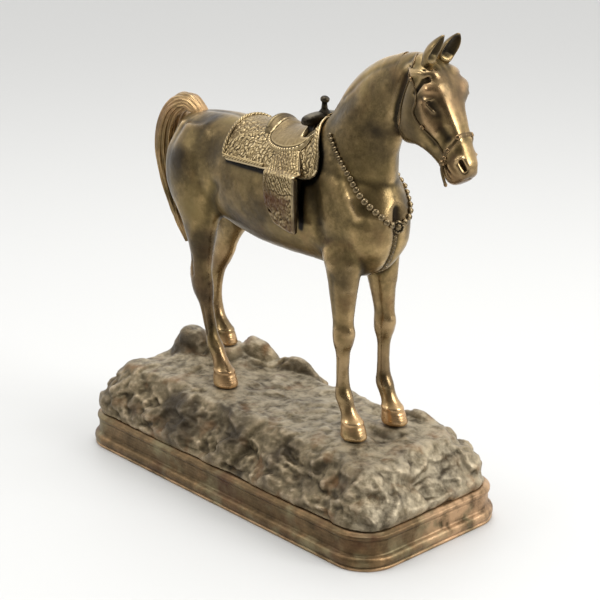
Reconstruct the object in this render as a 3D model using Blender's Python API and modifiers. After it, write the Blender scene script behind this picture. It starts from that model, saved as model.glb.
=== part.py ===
"""A bronze statuette of a standing horse in western tack, on a rocky mound with a moulded plinth.

Frame: +X is the way the horse faces, +Y its left side, +Z up. The origin is the middle of the
plinth's underside. Tables hold millimetres, and MM turns them into Blender's metres.
"""

import math

import bmesh
import bpy
from mathutils import Matrix, Vector, noise
from mathutils.bvhtree import BVHTree

MM = 0.001
GAP = 0.3  # between neighbouring castings
SKIN_GAP = 0.35  # between the horse's skin and what stands on it

# Driving dimensions, in millimetres.
BASE_LENGTH, BASE_WIDTH, BASE_CORNER = 290.0, 131.0, 25.0
PLINTH_HEIGHT = 23.5
PLINTH_WALL = 9.0
FELT_THICKNESS = 1.2
ROCK_WALL = 3.0
ROCK_TRIM = 1.4  # trimmed off the foot of the rock to seat it flat on the plinth
BODY_WALL = 2.6
ROCK_INSET = 5.2  # from the plinth's outer face to the foot of the rock
PLATEAU = 57.0  # usual height of the top of the mound
LEG_JOINT = 154.0  # height of the joint between body and leg castings

BRONZE = (0.23, 0.165, 0.09, 1.0)
TACK_BRONZE = (0.36, 0.27, 0.14, 1.0)
SADDLE_BRONZE = (0.40, 0.30, 0.16, 1.0)
ROCK_BRONZE = (0.21, 0.175, 0.12, 1.0)
PLINTH_BRONZE = (0.30, 0.19, 0.10, 1.0)

# Body rings: x, top z, bottom z, half width.
TRUNK = [
    (-98, 226, 202, 8), (-92, 236, 189, 17), (-80, 241, 179, 23.5), (-62, 243, 173, 26.5),
    (-44, 243.5, 172, 27), (-26, 241, 167.5, 27.8), (-6, 238.5, 164, 28.6), (14, 238, 163, 28.4),
    (34, 241, 163, 27.5), (52, 245, 162, 25.5), (70, 243, 159.5, 24), (86, 233, 162, 21.5),
    (97, 221, 172, 16.5), (103, 209, 189, 8),
]
# Neck and head rings: front point (x, z), rear point (x, z), half width.
NECK = [
    ((80, 186), (37, 242), 23), ((96, 207), (47, 254), 19.5), ((98, 222), (55, 264), 17),
    ((98.5, 234), (63, 275), 15), ((101, 243), (74, 285), 13.5), ((104, 250), (87, 293), 12.5),
    ((108, 254), (101, 298), 11.5), ((113, 257), (114, 301.4), 10.8), ((119, 262), (124, 301.6), 9.5),
]
HEAD = [
    ((121, 302), (108, 263), 9), ((131, 299), (108, 253), 11), ((139, 290), (113, 248.5), 12.2),
    ((145, 279), (122, 248.5), 11.6), ((150, 269), (129, 245.5), 9.4), ((154, 260), (135, 241.5), 7.6),
    ((158, 251), (140, 237), 7.0), ((161.5, 243.5), (142.5, 232.5), 7.6), ((162, 237.5), (145, 228.5), 6.8),
    ((158, 232), (149, 227.5), 4.0),
]
# Leg rings: z, rear x, front x, y, half width. The legs are given for the side +Y.
FORELEG = [
    (190, 54, 92, 13, 9), (174, 58, 89, 15, 9), (160, 62.5, 86, 16.3, 8), (146, 66, 84.5, 17.3, 6.8),
    (134, 68.8, 83.6, 18, 5.8), (127, 69.2, 84.4, 18, 6.6), (120, 69.8, 83.4, 18, 6.3), (113, 71.8, 81, 18, 4.7),
    (102, 72, 80.4, 18, 4.2), (92, 72, 81, 18, 4.6), (85, 71.4, 84, 18, 5.6), (79, 74, 86, 18, 4.9),
    (74, 76.5, 89.5, 18, 5.2), (70.5, 77.5, 92.5, 18, 6.6), (59.3, 77.5, 97, 18.3, 8.3),
]
HIND_RIGHT = [
    (236, -84, -48, 11, 10), (218, -94, -42, 13.5, 14), (200, -96, -41, 15, 14.3), (184, -90, -41, 16.5, 12.5),
    (170, -79, -46.5, 17.5, 10), (157, -73, -49.5, 18, 7.6), (146, -70, -51, 18.5, 6), (137, -70, -51.5, 19, 5.6),
    (129, -70, -50.5, 19, 5.9), (121, -67.5, -50, 19, 5.6), (113, -61.5, -50.5, 19, 4.6), (101, -57.5, -48, 19, 4.2),
    (92, -54.5, -45.5, 19, 4.6), (85.5, -53.5, -40.5, 19, 5.6), (79.5, -49.5, -37.5, 19, 5), (74, -47.5, -33, 19, 5.4),
    (70.5, -46.5, -30, 19, 6.6), (59.8, -46, -26.5, 19.3, 8.3),
]
HIND_LEFT = [
    (236, -84, -48, 11, 10), (218, -94, -42, 13.5, 14), (200, -97, -41, 15, 14.3), (186, -93, -43, 16.5, 12.5),
    (174, -88, -48, 17.5, 10.5), (162, -86.5, -56, 17.7, 8.2), (152, -87, -64, 18.2, 6.6), (145, -89.5, -69, 18.7, 5.8),
    (138, -92, -72.5, 19, 5.9), (131, -93.5, -77, 19, 5.6), (122, -94.5, -83.5, 19, 4.6), (111, -96, -86.5, 19, 4.2),
    (102, -97, -87.5, 19, 4.6), (95, -99.5, -86.5, 19, 5.6), (89, -96, -84, 19, 5), (83.5, -93, -78.5, 19, 5.4),
    (80, -92, -75.5, 19, 6.6), (69.3, -91.7, -72.3, 19.3, 8.3),
]
# Tail: centre x, centre z, half thickness, half width.
TAIL = [
    (-76, 233, 4.5, 5.5), (-83.5, 240.5, 5, 6.2), (-91, 244.2, 5.6, 7), (-99.5, 243.3, 6.6, 8.4), (-107.5, 237, 7.6, 10),
    (-113.5, 225, 8.4, 11), (-116, 210, 8.6, 11), (-114.5, 195, 8, 10.5), (-110.5, 181, 7, 9.5),
    (-105, 168, 5.8, 8), (-100, 156, 4.6, 6), (-96.5, 146, 2.6, 3.4),
]
# Hooves: x, y of the sole's middle, and the height of the ground there.
HOOVES = {
    "foreleg_right": (87, -18.3, 59.0), "foreleg_left": (87, 18.3, 59.0),
    "hindleg_right": (-36.5, -19.3, 59.5), "hindleg_left": (-82, 19.3, 69.0),
}
PAD_RADIUS = 13.0  # level ground under each hoof
BOSS_RADIUS, BOSS_DEPTH, BOSS_PROUD = 11.0, 6.0, 0.8  # flat boss that each hoof stands on
STUD_RADIUS, STUD_HEAD_RADIUS, STUD_HEAD_HEIGHT = 1.5, 3.2, 2.4
STUD_GRIP = 9.0  # how far a stud reaches up into its hoof
WASHER_RADIUS, WASHER_THICKNESS = 4.2, 0.8
# Boulders: x, y, top z, radius along x, radius along y.
BOULDERS = [
    (-106, 8, 75, 14, 14), (-68, 40, 70, 15, 12), (-32, 50, 68, 17, 12), (84, 48, 62, 15, 12),
    (-120, -26, 57, 12, 14), (118, 20, 56, 14, 16), (10, -48, 56, 20, 10),
]

# Saddle. Turns run from 0 over the backbone to 1 at the hem, with the edge's x at each.
SADDLE_GAP, SKIRT_WALL = 1.6, 2.2
BACK_HALF_WIDTH = 28.5  # of the back at the hem
SKIRT_HEM = 220.5  # height of the skirts' lower edge
SKIRT_REAR_EDGE = [(0.0, -31), (0.4, -29), (0.8, -27.5), (1.0, -21)]
SKIRT_FRONT_EDGE = [(0.0, 45.5), (0.2, 48.5), (0.4, 54), (0.6, 58.5), (0.85, 59.5), (1.0, 53)]
SEAT_REAR, SEAT_FRONT, SEAT_TURN = 8.6, 33.5, 0.66
CANTLE_X, CANTLE_TURN, CANTLE_TOP = 4.0, 0.36, 251.0
FORK_X, FORK_TURN, FORK_TOP = 38.5, 0.42, 256.4
HORN_X, HORN_TOP = 40.0, 265.5
FENDER_REAR, FENDER_FRONT = 19.0, 52.0
FENDER_INNER, FENDER_OUTER, FENDER_FOOT = 30.4, 37.4, 208.0
FENDER_SLANT = 25.0  # how fast its front edge runs back above the hem
STIRRUP_OUTLINE = [(19, 207.6), (19, 200), (24, 195), (42, 184.5), (52, 184.5), (52, 207.6)]


def clear_scene():
    for item in list(bpy.data.objects):
        bpy.data.objects.remove(item)


def collection(name):
    made = bpy.data.collections.new(name)
    bpy.context.scene.collection.children.link(made)
    return made


def material(name, colour, roughness, metallic):
    made = bpy.data.materials.new(name)
    made.use_nodes = True
    shader = made.node_tree.nodes["Principled BSDF"]
    shader.inputs["Base Color"].default_value = colour
    shader.inputs["Roughness"].default_value = roughness
    shader.inputs["Metallic"].default_value = metallic
    return made


def add(name, mesh, group, finish=None):
    item = bpy.data.objects.new(name, mesh)
    group.objects.link(item)
    if finish:
        item.data.materials.clear()
        item.data.materials.append(finish)
    return item


def baked(item):
    """The object's evaluated mesh as a mesh of its own, welded, with the object removed."""
    bpy.context.view_layer.update()
    graph = bpy.context.evaluated_depsgraph_get()
    mesh = bpy.data.meshes.new_from_object(item.evaluated_get(graph))
    mesh.transform(item.matrix_world)
    made = bmesh.new()
    made.from_mesh(mesh)
    bmesh.ops.remove_doubles(made, verts=made.verts, dist=0.00001)
    made.to_mesh(mesh)
    made.free()
    bpy.data.objects.remove(item)
    return mesh


def loft_into(mesh, rings):
    """Adds a closed tube through rings of equal length, with flat ends."""
    rows = [[mesh.verts.new(point) for point in ring] for ring in rings]
    count = len(rows[0])
    for near, far in zip(rows, rows[1:]):
        for i in range(count):
            j = (i + 1) % count
            mesh.faces.new((near[i], near[j], far[j], far[i]))
    mesh.faces.new(reversed(rows[0]))
    mesh.faces.new(rows[-1])


def smooth_row(rows, t):
    """A table's row at the fractional index t, on a Catmull-Rom curve through its rows."""
    i = min(int(t), len(rows) - 2)
    u = t - i
    a, b = rows[max(i - 1, 0)], rows[i]
    c, d = rows[i + 1], rows[min(i + 2, len(rows) - 1)]
    return [
        0.5 * (2 * q + (r - p) * u + (2 * p - 5 * q + 4 * r - s) * u * u + (3 * q - p - 3 * r + s) * u ** 3)
        for p, q, r, s in zip(a, b, c, d)
    ]


def section_rings(rows, side=1, per_row=2, count=20):
    """Elliptical rings from rows of front x, front z, rear x, rear z, y, half width."""
    rings = []
    for step in range((len(rows) - 1) * per_row + 1):
        fx, fz, rx, rz, y, half = smooth_row(rows, step / per_row)
        middle = Vector(((fx + rx) / 2, side * y, (fz + rz) / 2))
        reach = Vector(((fx - rx) / 2, 0, (fz - rz) / 2))
        across = Vector((0, max(half, 0.5), 0))
        angles = [2 * math.pi * k / count for k in range(count)]
        rings.append([(middle + reach * math.cos(a) + across * math.sin(a)) * MM for a in angles])
    return rings


def trunk_rows():
    return [(x, top, x, bottom, 0, half) for x, top, bottom, half in TRUNK]


def spine_rows(table):
    return [(front[0], front[1], rear[0], rear[1], 0, half) for front, rear, half in table]


def leg_rows(table):
    return [(front, z, rear, z, y, half) for z, rear, front, y, half in table]


def tail_rows():
    """Tail rings stand square to the line through their neighbours."""
    rows = []
    for i, (x, z, thick, wide) in enumerate(TAIL):
        before, after = TAIL[max(i - 1, 0)], TAIL[min(i + 1, len(TAIL) - 1)]
        along = Vector((after[0] - before[0], after[1] - before[1])).normalized()
        out = Vector((-along.y, along.x)) * thick
        rows.append((x - out.x, z - out.y, x + out.x, z + out.y, 0, wide))
    return rows


def mesh_of(ring_sets, name):
    made = bmesh.new()
    for rings in ring_sets:
        loft_into(made, rings)
    bmesh.ops.recalc_face_normals(made, faces=made.faces)
    mesh = bpy.data.meshes.new(name)
    made.to_mesh(mesh)
    made.free()
    return mesh


def horse_blank(helpers):
    """Body, neck, head and legs melted into one skin, which the castings are then cut from."""
    parts = [
        section_rings(trunk_rows()), section_rings(spine_rows(NECK)), section_rings(spine_rows(HEAD)),
        section_rings(leg_rows(FORELEG)), section_rings(leg_rows(FORELEG), side=-1),
        section_rings(leg_rows(HIND_LEFT)), section_rings(leg_rows(HIND_RIGHT), side=-1),
    ]
    skin = add("horse_blank", mesh_of(parts, "horse_blank"), helpers)
    melt = skin.modifiers.new("melt", "REMESH")
    melt.mode, melt.voxel_size = "VOXEL", 1.3 * MM
    ease = skin.modifiers.new("ease", "SMOOTH")
    ease.factor, ease.iterations = 0.5, 7
    thin = skin.modifiers.new("thin", "DECIMATE")
    thin.ratio = 0.026
    mesh = baked(skin)
    return mesh


def cut(mesh, planes, closed=True):
    """A copy of the mesh, kept on the side that each plane's normal points away from."""
    made = bmesh.new()
    made.from_mesh(mesh)
    for point, normal in planes:
        everything = made.verts[:] + made.edges[:] + made.faces[:]
        done = bmesh.ops.bisect_plane(
            made, geom=everything, plane_co=Vector(point) * MM, plane_no=Vector(normal), clear_outer=True
        )
        if closed:
            rim = [e for e in done["geom_cut"] if isinstance(e, bmesh.types.BMEdge)]
            bmesh.ops.triangle_fill(made, edges=rim, use_beauty=True, normal=Vector(normal))
    bmesh.ops.recalc_face_normals(made, faces=made.faces)
    piece = bpy.data.meshes.new("cut")
    made.to_mesh(piece)
    made.free()
    return piece


def half_gap(plane, away):
    """The same plane moved by half a gap, so that two castings cut at it stay apart."""
    point, normal = plane
    shift = Vector(normal).normalized() * (GAP / 2) * away
    return tuple(Vector(point) + shift), normal


def facing(plane):
    point, normal = plane
    return point, tuple(-v for v in normal)


NECK_JOINT = ((76.5, 0, 233.5), (0.63, 0, 0.78))
HEAD_JOINT = ((106.5, 0, 277), (0.998, 0, -0.06))
LEG_PLANE = ((0, 0, LEG_JOINT), (0, 0, 1))


def hollow(item, wall):
    shell = item.modifiers.new("wall", "SOLIDIFY")
    shell.thickness, shell.offset = wall * MM, -1
    shell.use_rim = True


def drill(item, cutters, helpers):
    """Cuts each cutter mesh out of the object."""
    for number, mesh in enumerate(cutters):
        tool = add(f"{item.name}_cutter_{number}", mesh, helpers)
        tool.hide_render, tool.display_type = True, "WIRE"
        bite = item.modifiers.new(f"cut_{number}", "BOOLEAN")
        bite.object, bite.operation, bite.solver = tool, "DIFFERENCE", "EXACT"


def cylinder(x, y, low, high, radius, segments=16):
    made = bmesh.new()
    bmesh.ops.create_cone(
        made, cap_ends=True, segments=segments, radius1=radius * MM, radius2=radius * MM, depth=(high - low) * MM,
        matrix=Matrix.Translation(Vector((x, y, (low + high) / 2)) * MM),
    )
    mesh = bpy.data.meshes.new("cylinder")
    made.to_mesh(mesh)
    made.free()
    return mesh


def turned(profile, x, y, segments=20):
    """A solid of revolution about a vertical axis, from radius and height pairs that start and end at radius 0."""
    made = bmesh.new()
    points = [made.verts.new((radius * MM, 0, z * MM)) for radius, z in profile]
    for a, b in zip(points, points[1:]):
        made.edges.new((a, b))
    bmesh.ops.spin(
        made, geom=made.verts[:] + made.edges[:], cent=(0, 0, 0), axis=(0, 0, 1), angle=2 * math.pi, steps=segments
    )
    bmesh.ops.remove_doubles(made, verts=made.verts, dist=0.000005)
    bmesh.ops.recalc_face_normals(made, faces=made.faces)
    bmesh.ops.translate(made, verts=made.verts, vec=Vector((x, y, 0)) * MM)
    mesh = bpy.data.meshes.new("turned")
    made.to_mesh(mesh)
    made.free()
    return mesh


def plate(outline, low_y, high_y, name):
    """A flat plate with an outline in x and z, between two y values."""
    made = bmesh.new()
    face = made.faces.new([made.verts.new(Vector((x, low_y, z)) * MM) for x, z in outline])
    grown = bmesh.ops.extrude_face_region(made, geom=[face])["geom"]
    moved = [v for v in grown if isinstance(v, bmesh.types.BMVert)]
    bmesh.ops.translate(made, verts=moved, vec=(0, (high_y - low_y) * MM, 0))
    bmesh.ops.recalc_face_normals(made, faces=made.faces)
    mesh = bpy.data.meshes.new(name)
    made.to_mesh(mesh)
    made.free()
    return mesh


def rounded_rectangle(inset, per_corner=7, per_long=14, per_short=6):
    """Points round the base's outline, inset from the plinth's outer face."""
    radius = BASE_CORNER - inset
    across, deep = BASE_LENGTH / 2 - BASE_CORNER, BASE_WIDTH / 2 - BASE_CORNER
    points = []
    corners = [(across, -deep, -90, per_short), (across, deep, 0, per_long),
               (-across, deep, 90, per_short), (-across, -deep, 180, per_long)]
    for number, (cx, cy, start, edge_points) in enumerate(corners):
        for k in range(per_corner + 1):
            angle = math.radians(start + 90 * k / per_corner)
            points.append((cx + radius * math.cos(angle), cy + radius * math.sin(angle)))
        (nx, ny, next_start, _) = corners[(number + 1) % 4]
        angle = math.radians(next_start)
        end = (nx + radius * math.cos(angle), ny + radius * math.sin(angle))
        last = points[-1]
        for k in range(1, edge_points):
            t = k / edge_points
            points.append((last[0] + (end[0] - last[0]) * t, last[1] + (end[1] - last[1]) * t))
    return points


def smoothstep(low, high, value):
    t = min(max((value - low) / (high - low), 0.0), 1.0)
    return t * t * (3 - 2 * t)


def rock_height(x, y):
    """Height of the mound's surface over the plateau, before the slope at its edge."""
    height = PLATEAU + 4 * smoothstep(-20, -80, x) + 2.4 * noise.noise(Vector((x / 21, y / 21, 3.1)))
    height += 1.6 * noise.noise(Vector((x / 9, y / 9, 8.7)))
    for bx, by, top, rx, ry in BOULDERS:
        near = 1 - ((x - bx) / rx) ** 2 - ((y - by) / ry) ** 2
        if near > 0:
            height = max(height, height + (top - height) * min(1.0, 1.6 * near) ** 0.5)
    for hx, hy, ground in HOOVES.values():
        away = math.hypot(x - hx, y - hy)
        level = 1 - smoothstep(PAD_RADIUS, PAD_RADIUS + 8, away)
        height += (ground - BOSS_PROUD - height) * level
    return height


def rock_point(edge, core, t):
    """A point on the mound, t running from its foot at 0 to the middle at 1."""
    x = edge[0] + (core[0] - edge[0]) * t
    y = edge[1] + (core[1] - edge[1]) * t
    inside = math.hypot(x - edge[0], y - edge[1])
    rise = smoothstep(-7, 24, inside) ** 0.9 if t > 0 else 0.0
    foot = PLINTH_HEIGHT + GAP - ROCK_TRIM
    z = foot + (rock_height(x, y) - foot) * rise
    crag = 2.2 * noise.noise(Vector((x / 13, y / 13, z / 11))) * smoothstep(0, 6, inside)
    lip = 1.0 if t > 0 else 0.0
    clear = min((math.hypot(x - hx, y - hy) for hx, hy, _ in HOOVES.values()))
    still = smoothstep(PAD_RADIUS - 3, PAD_RADIUS + 5, clear)
    push = crag * lip * still
    outward = Vector((edge[0] - core[0], edge[1] - core[1], 0))
    outward = outward.normalized() if outward.length > 1 else Vector((0, 0, 0))
    return (Vector((x, y, z)) + outward * push * (1 - rise) + Vector((0, 0, push * 0.6 * rise))) * MM


def rock_skin():
    """The mound's open outer surface, from its foot on the plinth to the ridge line along its middle."""
    outline = rounded_rectangle(ROCK_INSET, per_corner=3, per_long=13, per_short=4)
    ridge = (BASE_LENGTH - BASE_WIDTH) / 2
    steps = (0, 0.1, 0.22, 0.36, 0.55, 0.77, 1.0)
    made = bmesh.new()
    rows = []
    for t in steps:
        row = []
        for edge in outline:
            core = (max(-ridge, min(ridge, edge[0])), 0.0)
            row.append(made.verts.new(rock_point(edge, core, t)))
        rows.append(row)
    count = len(outline)
    for outer, inner in zip(rows, rows[1:]):
        for i in range(count):
            j = (i + 1) % count
            made.faces.new((outer[i], outer[j], inner[j], inner[i]))
    bmesh.ops.remove_doubles(made, verts=made.verts, dist=0.0002)
    bmesh.ops.triangulate(made, faces=made.faces)
    bmesh.ops.recalc_face_normals(made, faces=made.faces)
    mesh = bpy.data.meshes.new("rock")
    made.to_mesh(mesh)
    made.free()
    return mesh


def build_rock(group, helpers, finish):
    rock = add("rock_mound", rock_skin(), group, finish)
    shell = rock.modifiers.new("wall", "SOLIDIFY")
    shell.thickness, shell.offset = ROCK_WALL * MM, -1
    for leg, (x, y, ground) in HOOVES.items():
        boss = add(f"boss_{leg}", cylinder(x, y, ground - BOSS_DEPTH, ground, BOSS_RADIUS), helpers)
        boss.hide_render, boss.display_type = True, "WIRE"
        join = rock.modifiers.new(f"join_{leg}", "BOOLEAN")
        join.object, join.operation, join.solver = boss, "UNION", "EXACT"
    tools = [cylinder(x, y, 30, 90, STUD_RADIUS + GAP) for x, y, _ in HOOVES.values()]
    tools.append(cylinder(0, 0, 0, PLINTH_HEIGHT + GAP, BASE_LENGTH))
    drill(rock, tools, helpers)


def build_plinth(group, finish):
    """The moulded rim: a profile of inset and height pairs, carried round the base's outline."""
    torus = [(1.9 - 1.9 * math.sin(a), 5.2 - 3.2 * math.cos(a)) for a in (math.radians(d) for d in range(20, 161, 35))]
    profile = [(0.6, 0.0), (0.4, 1.8)] + torus + [
        (3.4, 9.2), (3.6, 17.6), (3.0, 18.6), (2.9, 20.4), (3.6, 21.6), (4.4, 22.6), (5.6, PLINTH_HEIGHT),
        (PLINTH_WALL, PLINTH_HEIGHT), (PLINTH_WALL, 0.0),
    ]
    rings = [
        [Vector((x, y, z)) * MM for x, y in rounded_rectangle(inset, per_corner=6, per_long=1, per_short=1)]
        for inset, z in profile
    ]
    made = bmesh.new()
    rows = [[made.verts.new(point) for point in ring] for ring in rings]
    count = len(rows[0])
    for near, far in zip(rows, rows[1:] + rows[:1]):
        for i in range(count):
            j = (i + 1) % count
            made.faces.new((near[i], near[j], far[j], far[i]))
    bmesh.ops.recalc_face_normals(made, faces=made.faces)
    mesh = bpy.data.meshes.new("plinth")
    made.to_mesh(mesh)
    made.free()
    add("plinth_moulding", mesh, group, finish)


def build_felt(group, finish):
    made = bmesh.new()
    outline = rounded_rectangle(PLINTH_WALL + GAP, per_corner=6, per_long=1, per_short=1)
    face = made.faces.new([made.verts.new(Vector((x, y, 0)) * MM) for x, y in outline])
    grown = bmesh.ops.extrude_face_region(made, geom=[face])["geom"]
    moved = [v for v in grown if isinstance(v, bmesh.types.BMVert)]
    bmesh.ops.translate(made, verts=moved, vec=(0, 0, FELT_THICKNESS * MM))
    bmesh.ops.recalc_face_normals(made, faces=made.faces)
    mesh = bpy.data.meshes.new("felt")
    made.to_mesh(mesh)
    made.free()
    add("felt_pad", mesh, group, finish)


def build_fasteners(group, steel):
    """A stud with a cheese head and a washer under each hoof, inside the hollow base."""
    for leg, (x, y, ground) in HOOVES.items():
        under = ground - BOSS_DEPTH - GAP
        washer = add(f"washer_{leg}", cylinder(x, y, under - WASHER_THICKNESS, under, WASHER_RADIUS, 12), group, steel)
        bore = cylinder(x, y, under - 5, under + 5, STUD_RADIUS + GAP, 12)
        tool = add(f"washer_{leg}_bore", bore, group)
        tool.hide_render, tool.display_type = True, "WIRE"
        bite = washer.modifiers.new("bore", "BOOLEAN")
        bite.object, bite.operation, bite.solver = tool, "DIFFERENCE", "EXACT"
        seat = under - WASHER_THICKNESS - GAP
        profile = [
            (0, seat - STUD_HEAD_HEIGHT), (STUD_HEAD_RADIUS, seat - STUD_HEAD_HEIGHT), (STUD_HEAD_RADIUS, seat),
            (STUD_RADIUS, seat), (STUD_RADIUS, ground + STUD_GRIP), (0, ground + STUD_GRIP),
        ]
        add(f"stud_{leg}", turned(profile, x, y, segments=12), group, steel)


def build_horse(group, helpers, finish):
    """The castings of the horse, cut from one blank, and the tail and ears."""
    blank = horse_blank(helpers)
    upper = [half_gap(facing(LEG_PLANE), -1)]
    open_ends = [half_gap(facing(LEG_PLANE), -3), half_gap(NECK_JOINT, -1)]
    body = add("body_casting", cut(blank, open_ends, closed=False), group, finish)
    hollow(body, BODY_WALL)
    neck_planes = upper + [half_gap(facing(NECK_JOINT), -1), half_gap(HEAD_JOINT, -1)]
    add("neck_casting", cut(blank, neck_planes), group, finish)
    head_planes = upper + [half_gap(facing(NECK_JOINT), -1), half_gap(facing(HEAD_JOINT), -1)]
    add("head_casting", cut(blank, head_planes), group, finish)
    for leg, (x, y, ground) in HOOVES.items():
        ahead = (0, 0, 0), (-1 if x > 0 else 1, 0, 0)
        beside = (0, 0, 0), (0, -1 if y > 0 else 1, 0)
        low = (0, 0, ground + GAP), (0, 0, -1)
        piece = add(leg, cut(blank, [half_gap(LEG_PLANE, -1), ahead, beside, low]), group, finish)
        drill(piece, [cylinder(x, y, ground - 8, ground + STUD_GRIP + GAP, STUD_RADIUS + GAP)], helpers)
    tail = add("tail_casting", mesh_of([section_rings(tail_rows(), per_row=2, count=14)], "tail"), group, finish)
    trim_to_skin([tail], blank, helpers)
    return blank


def trim_to_skin(items, blank, helpers):
    """Cuts the horse's skin, grown by the usual gap, out of what stands on it."""
    grown = blank.copy()
    for vertex in grown.vertices:
        vertex.co += vertex.normal * SKIN_GAP * MM
    tool = add(f"skin_under_{items[0].name}", grown, helpers)
    tool.hide_render, tool.display_type = True, "WIRE"
    for item in items:
        bite = item.modifiers.new("skin", "BOOLEAN")
        bite.object, bite.operation, bite.solver = tool, "DIFFERENCE", "EXACT"


EAR_ROOT, EAR_TIP, EAR_WIDTH = (130.0, 5.6, 296.5), (140.8, 6.6, 314.4), 8.6


def build_ears(blank, group, helpers, finish):
    """Leaf-shaped ears, standing forward on the poll."""
    for name, side in (("ear_left", 1), ("ear_right", -1)):
        rings = []
        for k in range(7):
            t = k / 6
            width = EAR_WIDTH / 2 * math.sin(math.pi * (0.3 + 0.68 * t)) ** 0.8
            middle = Vector(EAR_ROOT).lerp(Vector(EAR_TIP), t)
            middle.y *= side
            angles = [2 * math.pi * i / 8 for i in range(8)]
            rings.append([
                (middle + Vector((0.7 * width * math.cos(a), width * math.sin(a) * side, 0))) * MM for a in angles
            ])
        ear = add(name, mesh_of([rings], name), group, finish)
        trim_to_skin([ear], blank, helpers)


def level_between(pairs, value):
    """A table's second column at a value of its first, in straight lines between the rows."""
    for low, high in zip(pairs, pairs[1:]):
        if low[0] <= value <= high[0]:
            return low[1] + (high[1] - low[1]) * (value - low[0]) / (high[0] - low[0])
    return pairs[-1][1]


def back_point(tree, x, turn, off):
    """A point off the horse's back: turn runs from -1 at the right hem to 1 at the left."""
    middle = 205.0
    hem = math.atan2(BACK_HALF_WIDTH, SKIRT_HEM - middle)
    angle = turn * hem
    ray = Vector((0, math.sin(angle), math.cos(angle)))
    start = Vector((x, 0, middle)) + ray * 60
    spot, _, _, _ = tree.ray_cast(start * MM, -ray)
    return spot / MM + ray * off


def skirt_x(t, turn):
    """The x at share t of the way from the skirts' rear edge to their front edge."""
    rear = level_between(SKIRT_REAR_EDGE, min(abs(turn), 1.0))
    front = level_between(SKIRT_FRONT_EDGE, min(abs(turn), 1.0))
    return rear + (front - rear) * t


def build_skirts(tree, group, finish):
    lower, upper = [], []
    across, along = 16, 8
    for i in range(along + 1):
        turns = [-1 + 2 * j / across for j in range(across + 1)]
        spots = [(skirt_x(i / along, turn), turn) for turn in turns]
        lower.append([back_point(tree, x, turn, SADDLE_GAP) for x, turn in spots])
        upper.append([back_point(tree, x, turn, SADDLE_GAP + SKIRT_WALL) for x, turn in spots])
    between("saddle_skirts", lower, upper, group, finish)


def between(name, lower, upper, group, finish):
    """A closed solid between two grids of points of the same size."""
    made = bmesh.new()
    under = [[made.verts.new(p * MM) for p in row] for row in lower]
    over = [[made.verts.new(p * MM) for p in row] for row in upper]
    rows, columns = len(under), len(under[0])
    for i in range(rows - 1):
        for j in range(columns - 1):
            made.faces.new((under[i][j], under[i][j + 1], under[i + 1][j + 1], under[i + 1][j]))
            made.faces.new((over[i][j], over[i + 1][j], over[i + 1][j + 1], over[i][j + 1]))
    rim = [(i, 0) for i in range(rows)] + [(rows - 1, j) for j in range(1, columns)]
    rim += [(i, columns - 1) for i in range(rows - 2, -1, -1)] + [(0, j) for j in range(columns - 2, 0, -1)]
    for (i, j), (k, m) in zip(rim, rim[1:] + rim[:1]):
        made.faces.new((under[i][j], under[k][m], over[k][m], over[i][j]))
    bmesh.ops.recalc_face_normals(made, faces=made.faces)
    mesh = bpy.data.meshes.new(name)
    made.to_mesh(mesh)
    made.free()
    return add(name, mesh, group, finish)


OVER_SKIRTS = SADDLE_GAP + SKIRT_WALL + 0.6  # how far off the back the pieces over the skirts start


def build_seat(tree, group, finish):
    """The dished seat with its side jockeys, laid over the skirts."""
    lower, upper = [], []
    along, across = 5, 10
    for i in range(along + 1):
        t = i / along
        x = SEAT_REAR + (SEAT_FRONT - SEAT_REAR) * t
        thick = 2.0 + 2.4 * (1 - t) ** 2 + 2.6 * t ** 3
        turns = [SEAT_TURN * (-1 + 2 * j / across) for j in range(across + 1)]
        edges = [1 - 0.45 * smoothstep(0.3, SEAT_TURN, abs(turn)) for turn in turns]
        lower.append([back_point(tree, x, turn, OVER_SKIRTS + GAP) for turn in turns])
        upper.append([back_point(tree, x, turn, OVER_SKIRTS + thick * e) for turn, e in zip(turns, edges)])
    between("saddle_seat", lower, upper, group, finish)


def build_cantle(tree, group, finish):
    """An upright dished plate behind the seat, following the skirts below."""
    lower, upper = [], []
    across = 10
    for x in (CANTLE_X - 3.6, CANTLE_X - 0.6, CANTLE_X + 2.4):
        turns = [CANTLE_TURN * (-1 + 2 * j / across) for j in range(across + 1)]
        feet = [back_point(tree, x, turn, OVER_SKIRTS) for turn in turns]
        rim = []
        for foot, turn in zip(feet, turns):
            share = math.sqrt(max(0.0, 1 - (turn / (CANTLE_TURN * 1.02)) ** 2))
            top = foot.z + 0.9 + (CANTLE_TOP - 245.6) * share
            rim.append(Vector((foot.x - 1.6 * share, foot.y * 1.02, top)))
        lower.append(feet)
        upper.append(rim)
    between("saddle_cantle", lower, upper, group, finish)


def build_fork(tree, group, finish):
    """The swell in front of the seat and the horn that stands on it."""
    lower, upper = [], []
    across = 10
    for ahead, share in ((-4.2, 0.55), (-2.4, 0.95), (1.5, 1.0), (4.4, 0.6)):
        x = FORK_X + ahead
        turns = [FORK_TURN * (-1 + 2 * j / across) for j in range(across + 1)]
        feet = [back_point(tree, x, turn, OVER_SKIRTS + GAP) for turn in turns]
        top = []
        for foot, turn in zip(feet, turns):
            crown = FORK_TOP - 2.4 * (turn / FORK_TURN) ** 2
            top.append(Vector((foot.x, foot.y * 1.1, max(foot.z + 1.0, foot.z + (crown - foot.z) * share))))
        lower.append(feet)
        upper.append(top)
    between("saddle_fork", lower, upper, group, finish)
    foot = FORK_TOP + GAP
    horn = [
        (0, foot), (2.4, foot), (1.7, foot + 1.8), (1.6, foot + 4.2), (3.0, foot + 5.4),
        (3.3, HORN_TOP - 1.4), (2.4, HORN_TOP - 0.3), (0, HORN_TOP),
    ]
    add("saddle_horn", turned(horn, HORN_X, 0, segments=12), group, finish)


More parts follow.
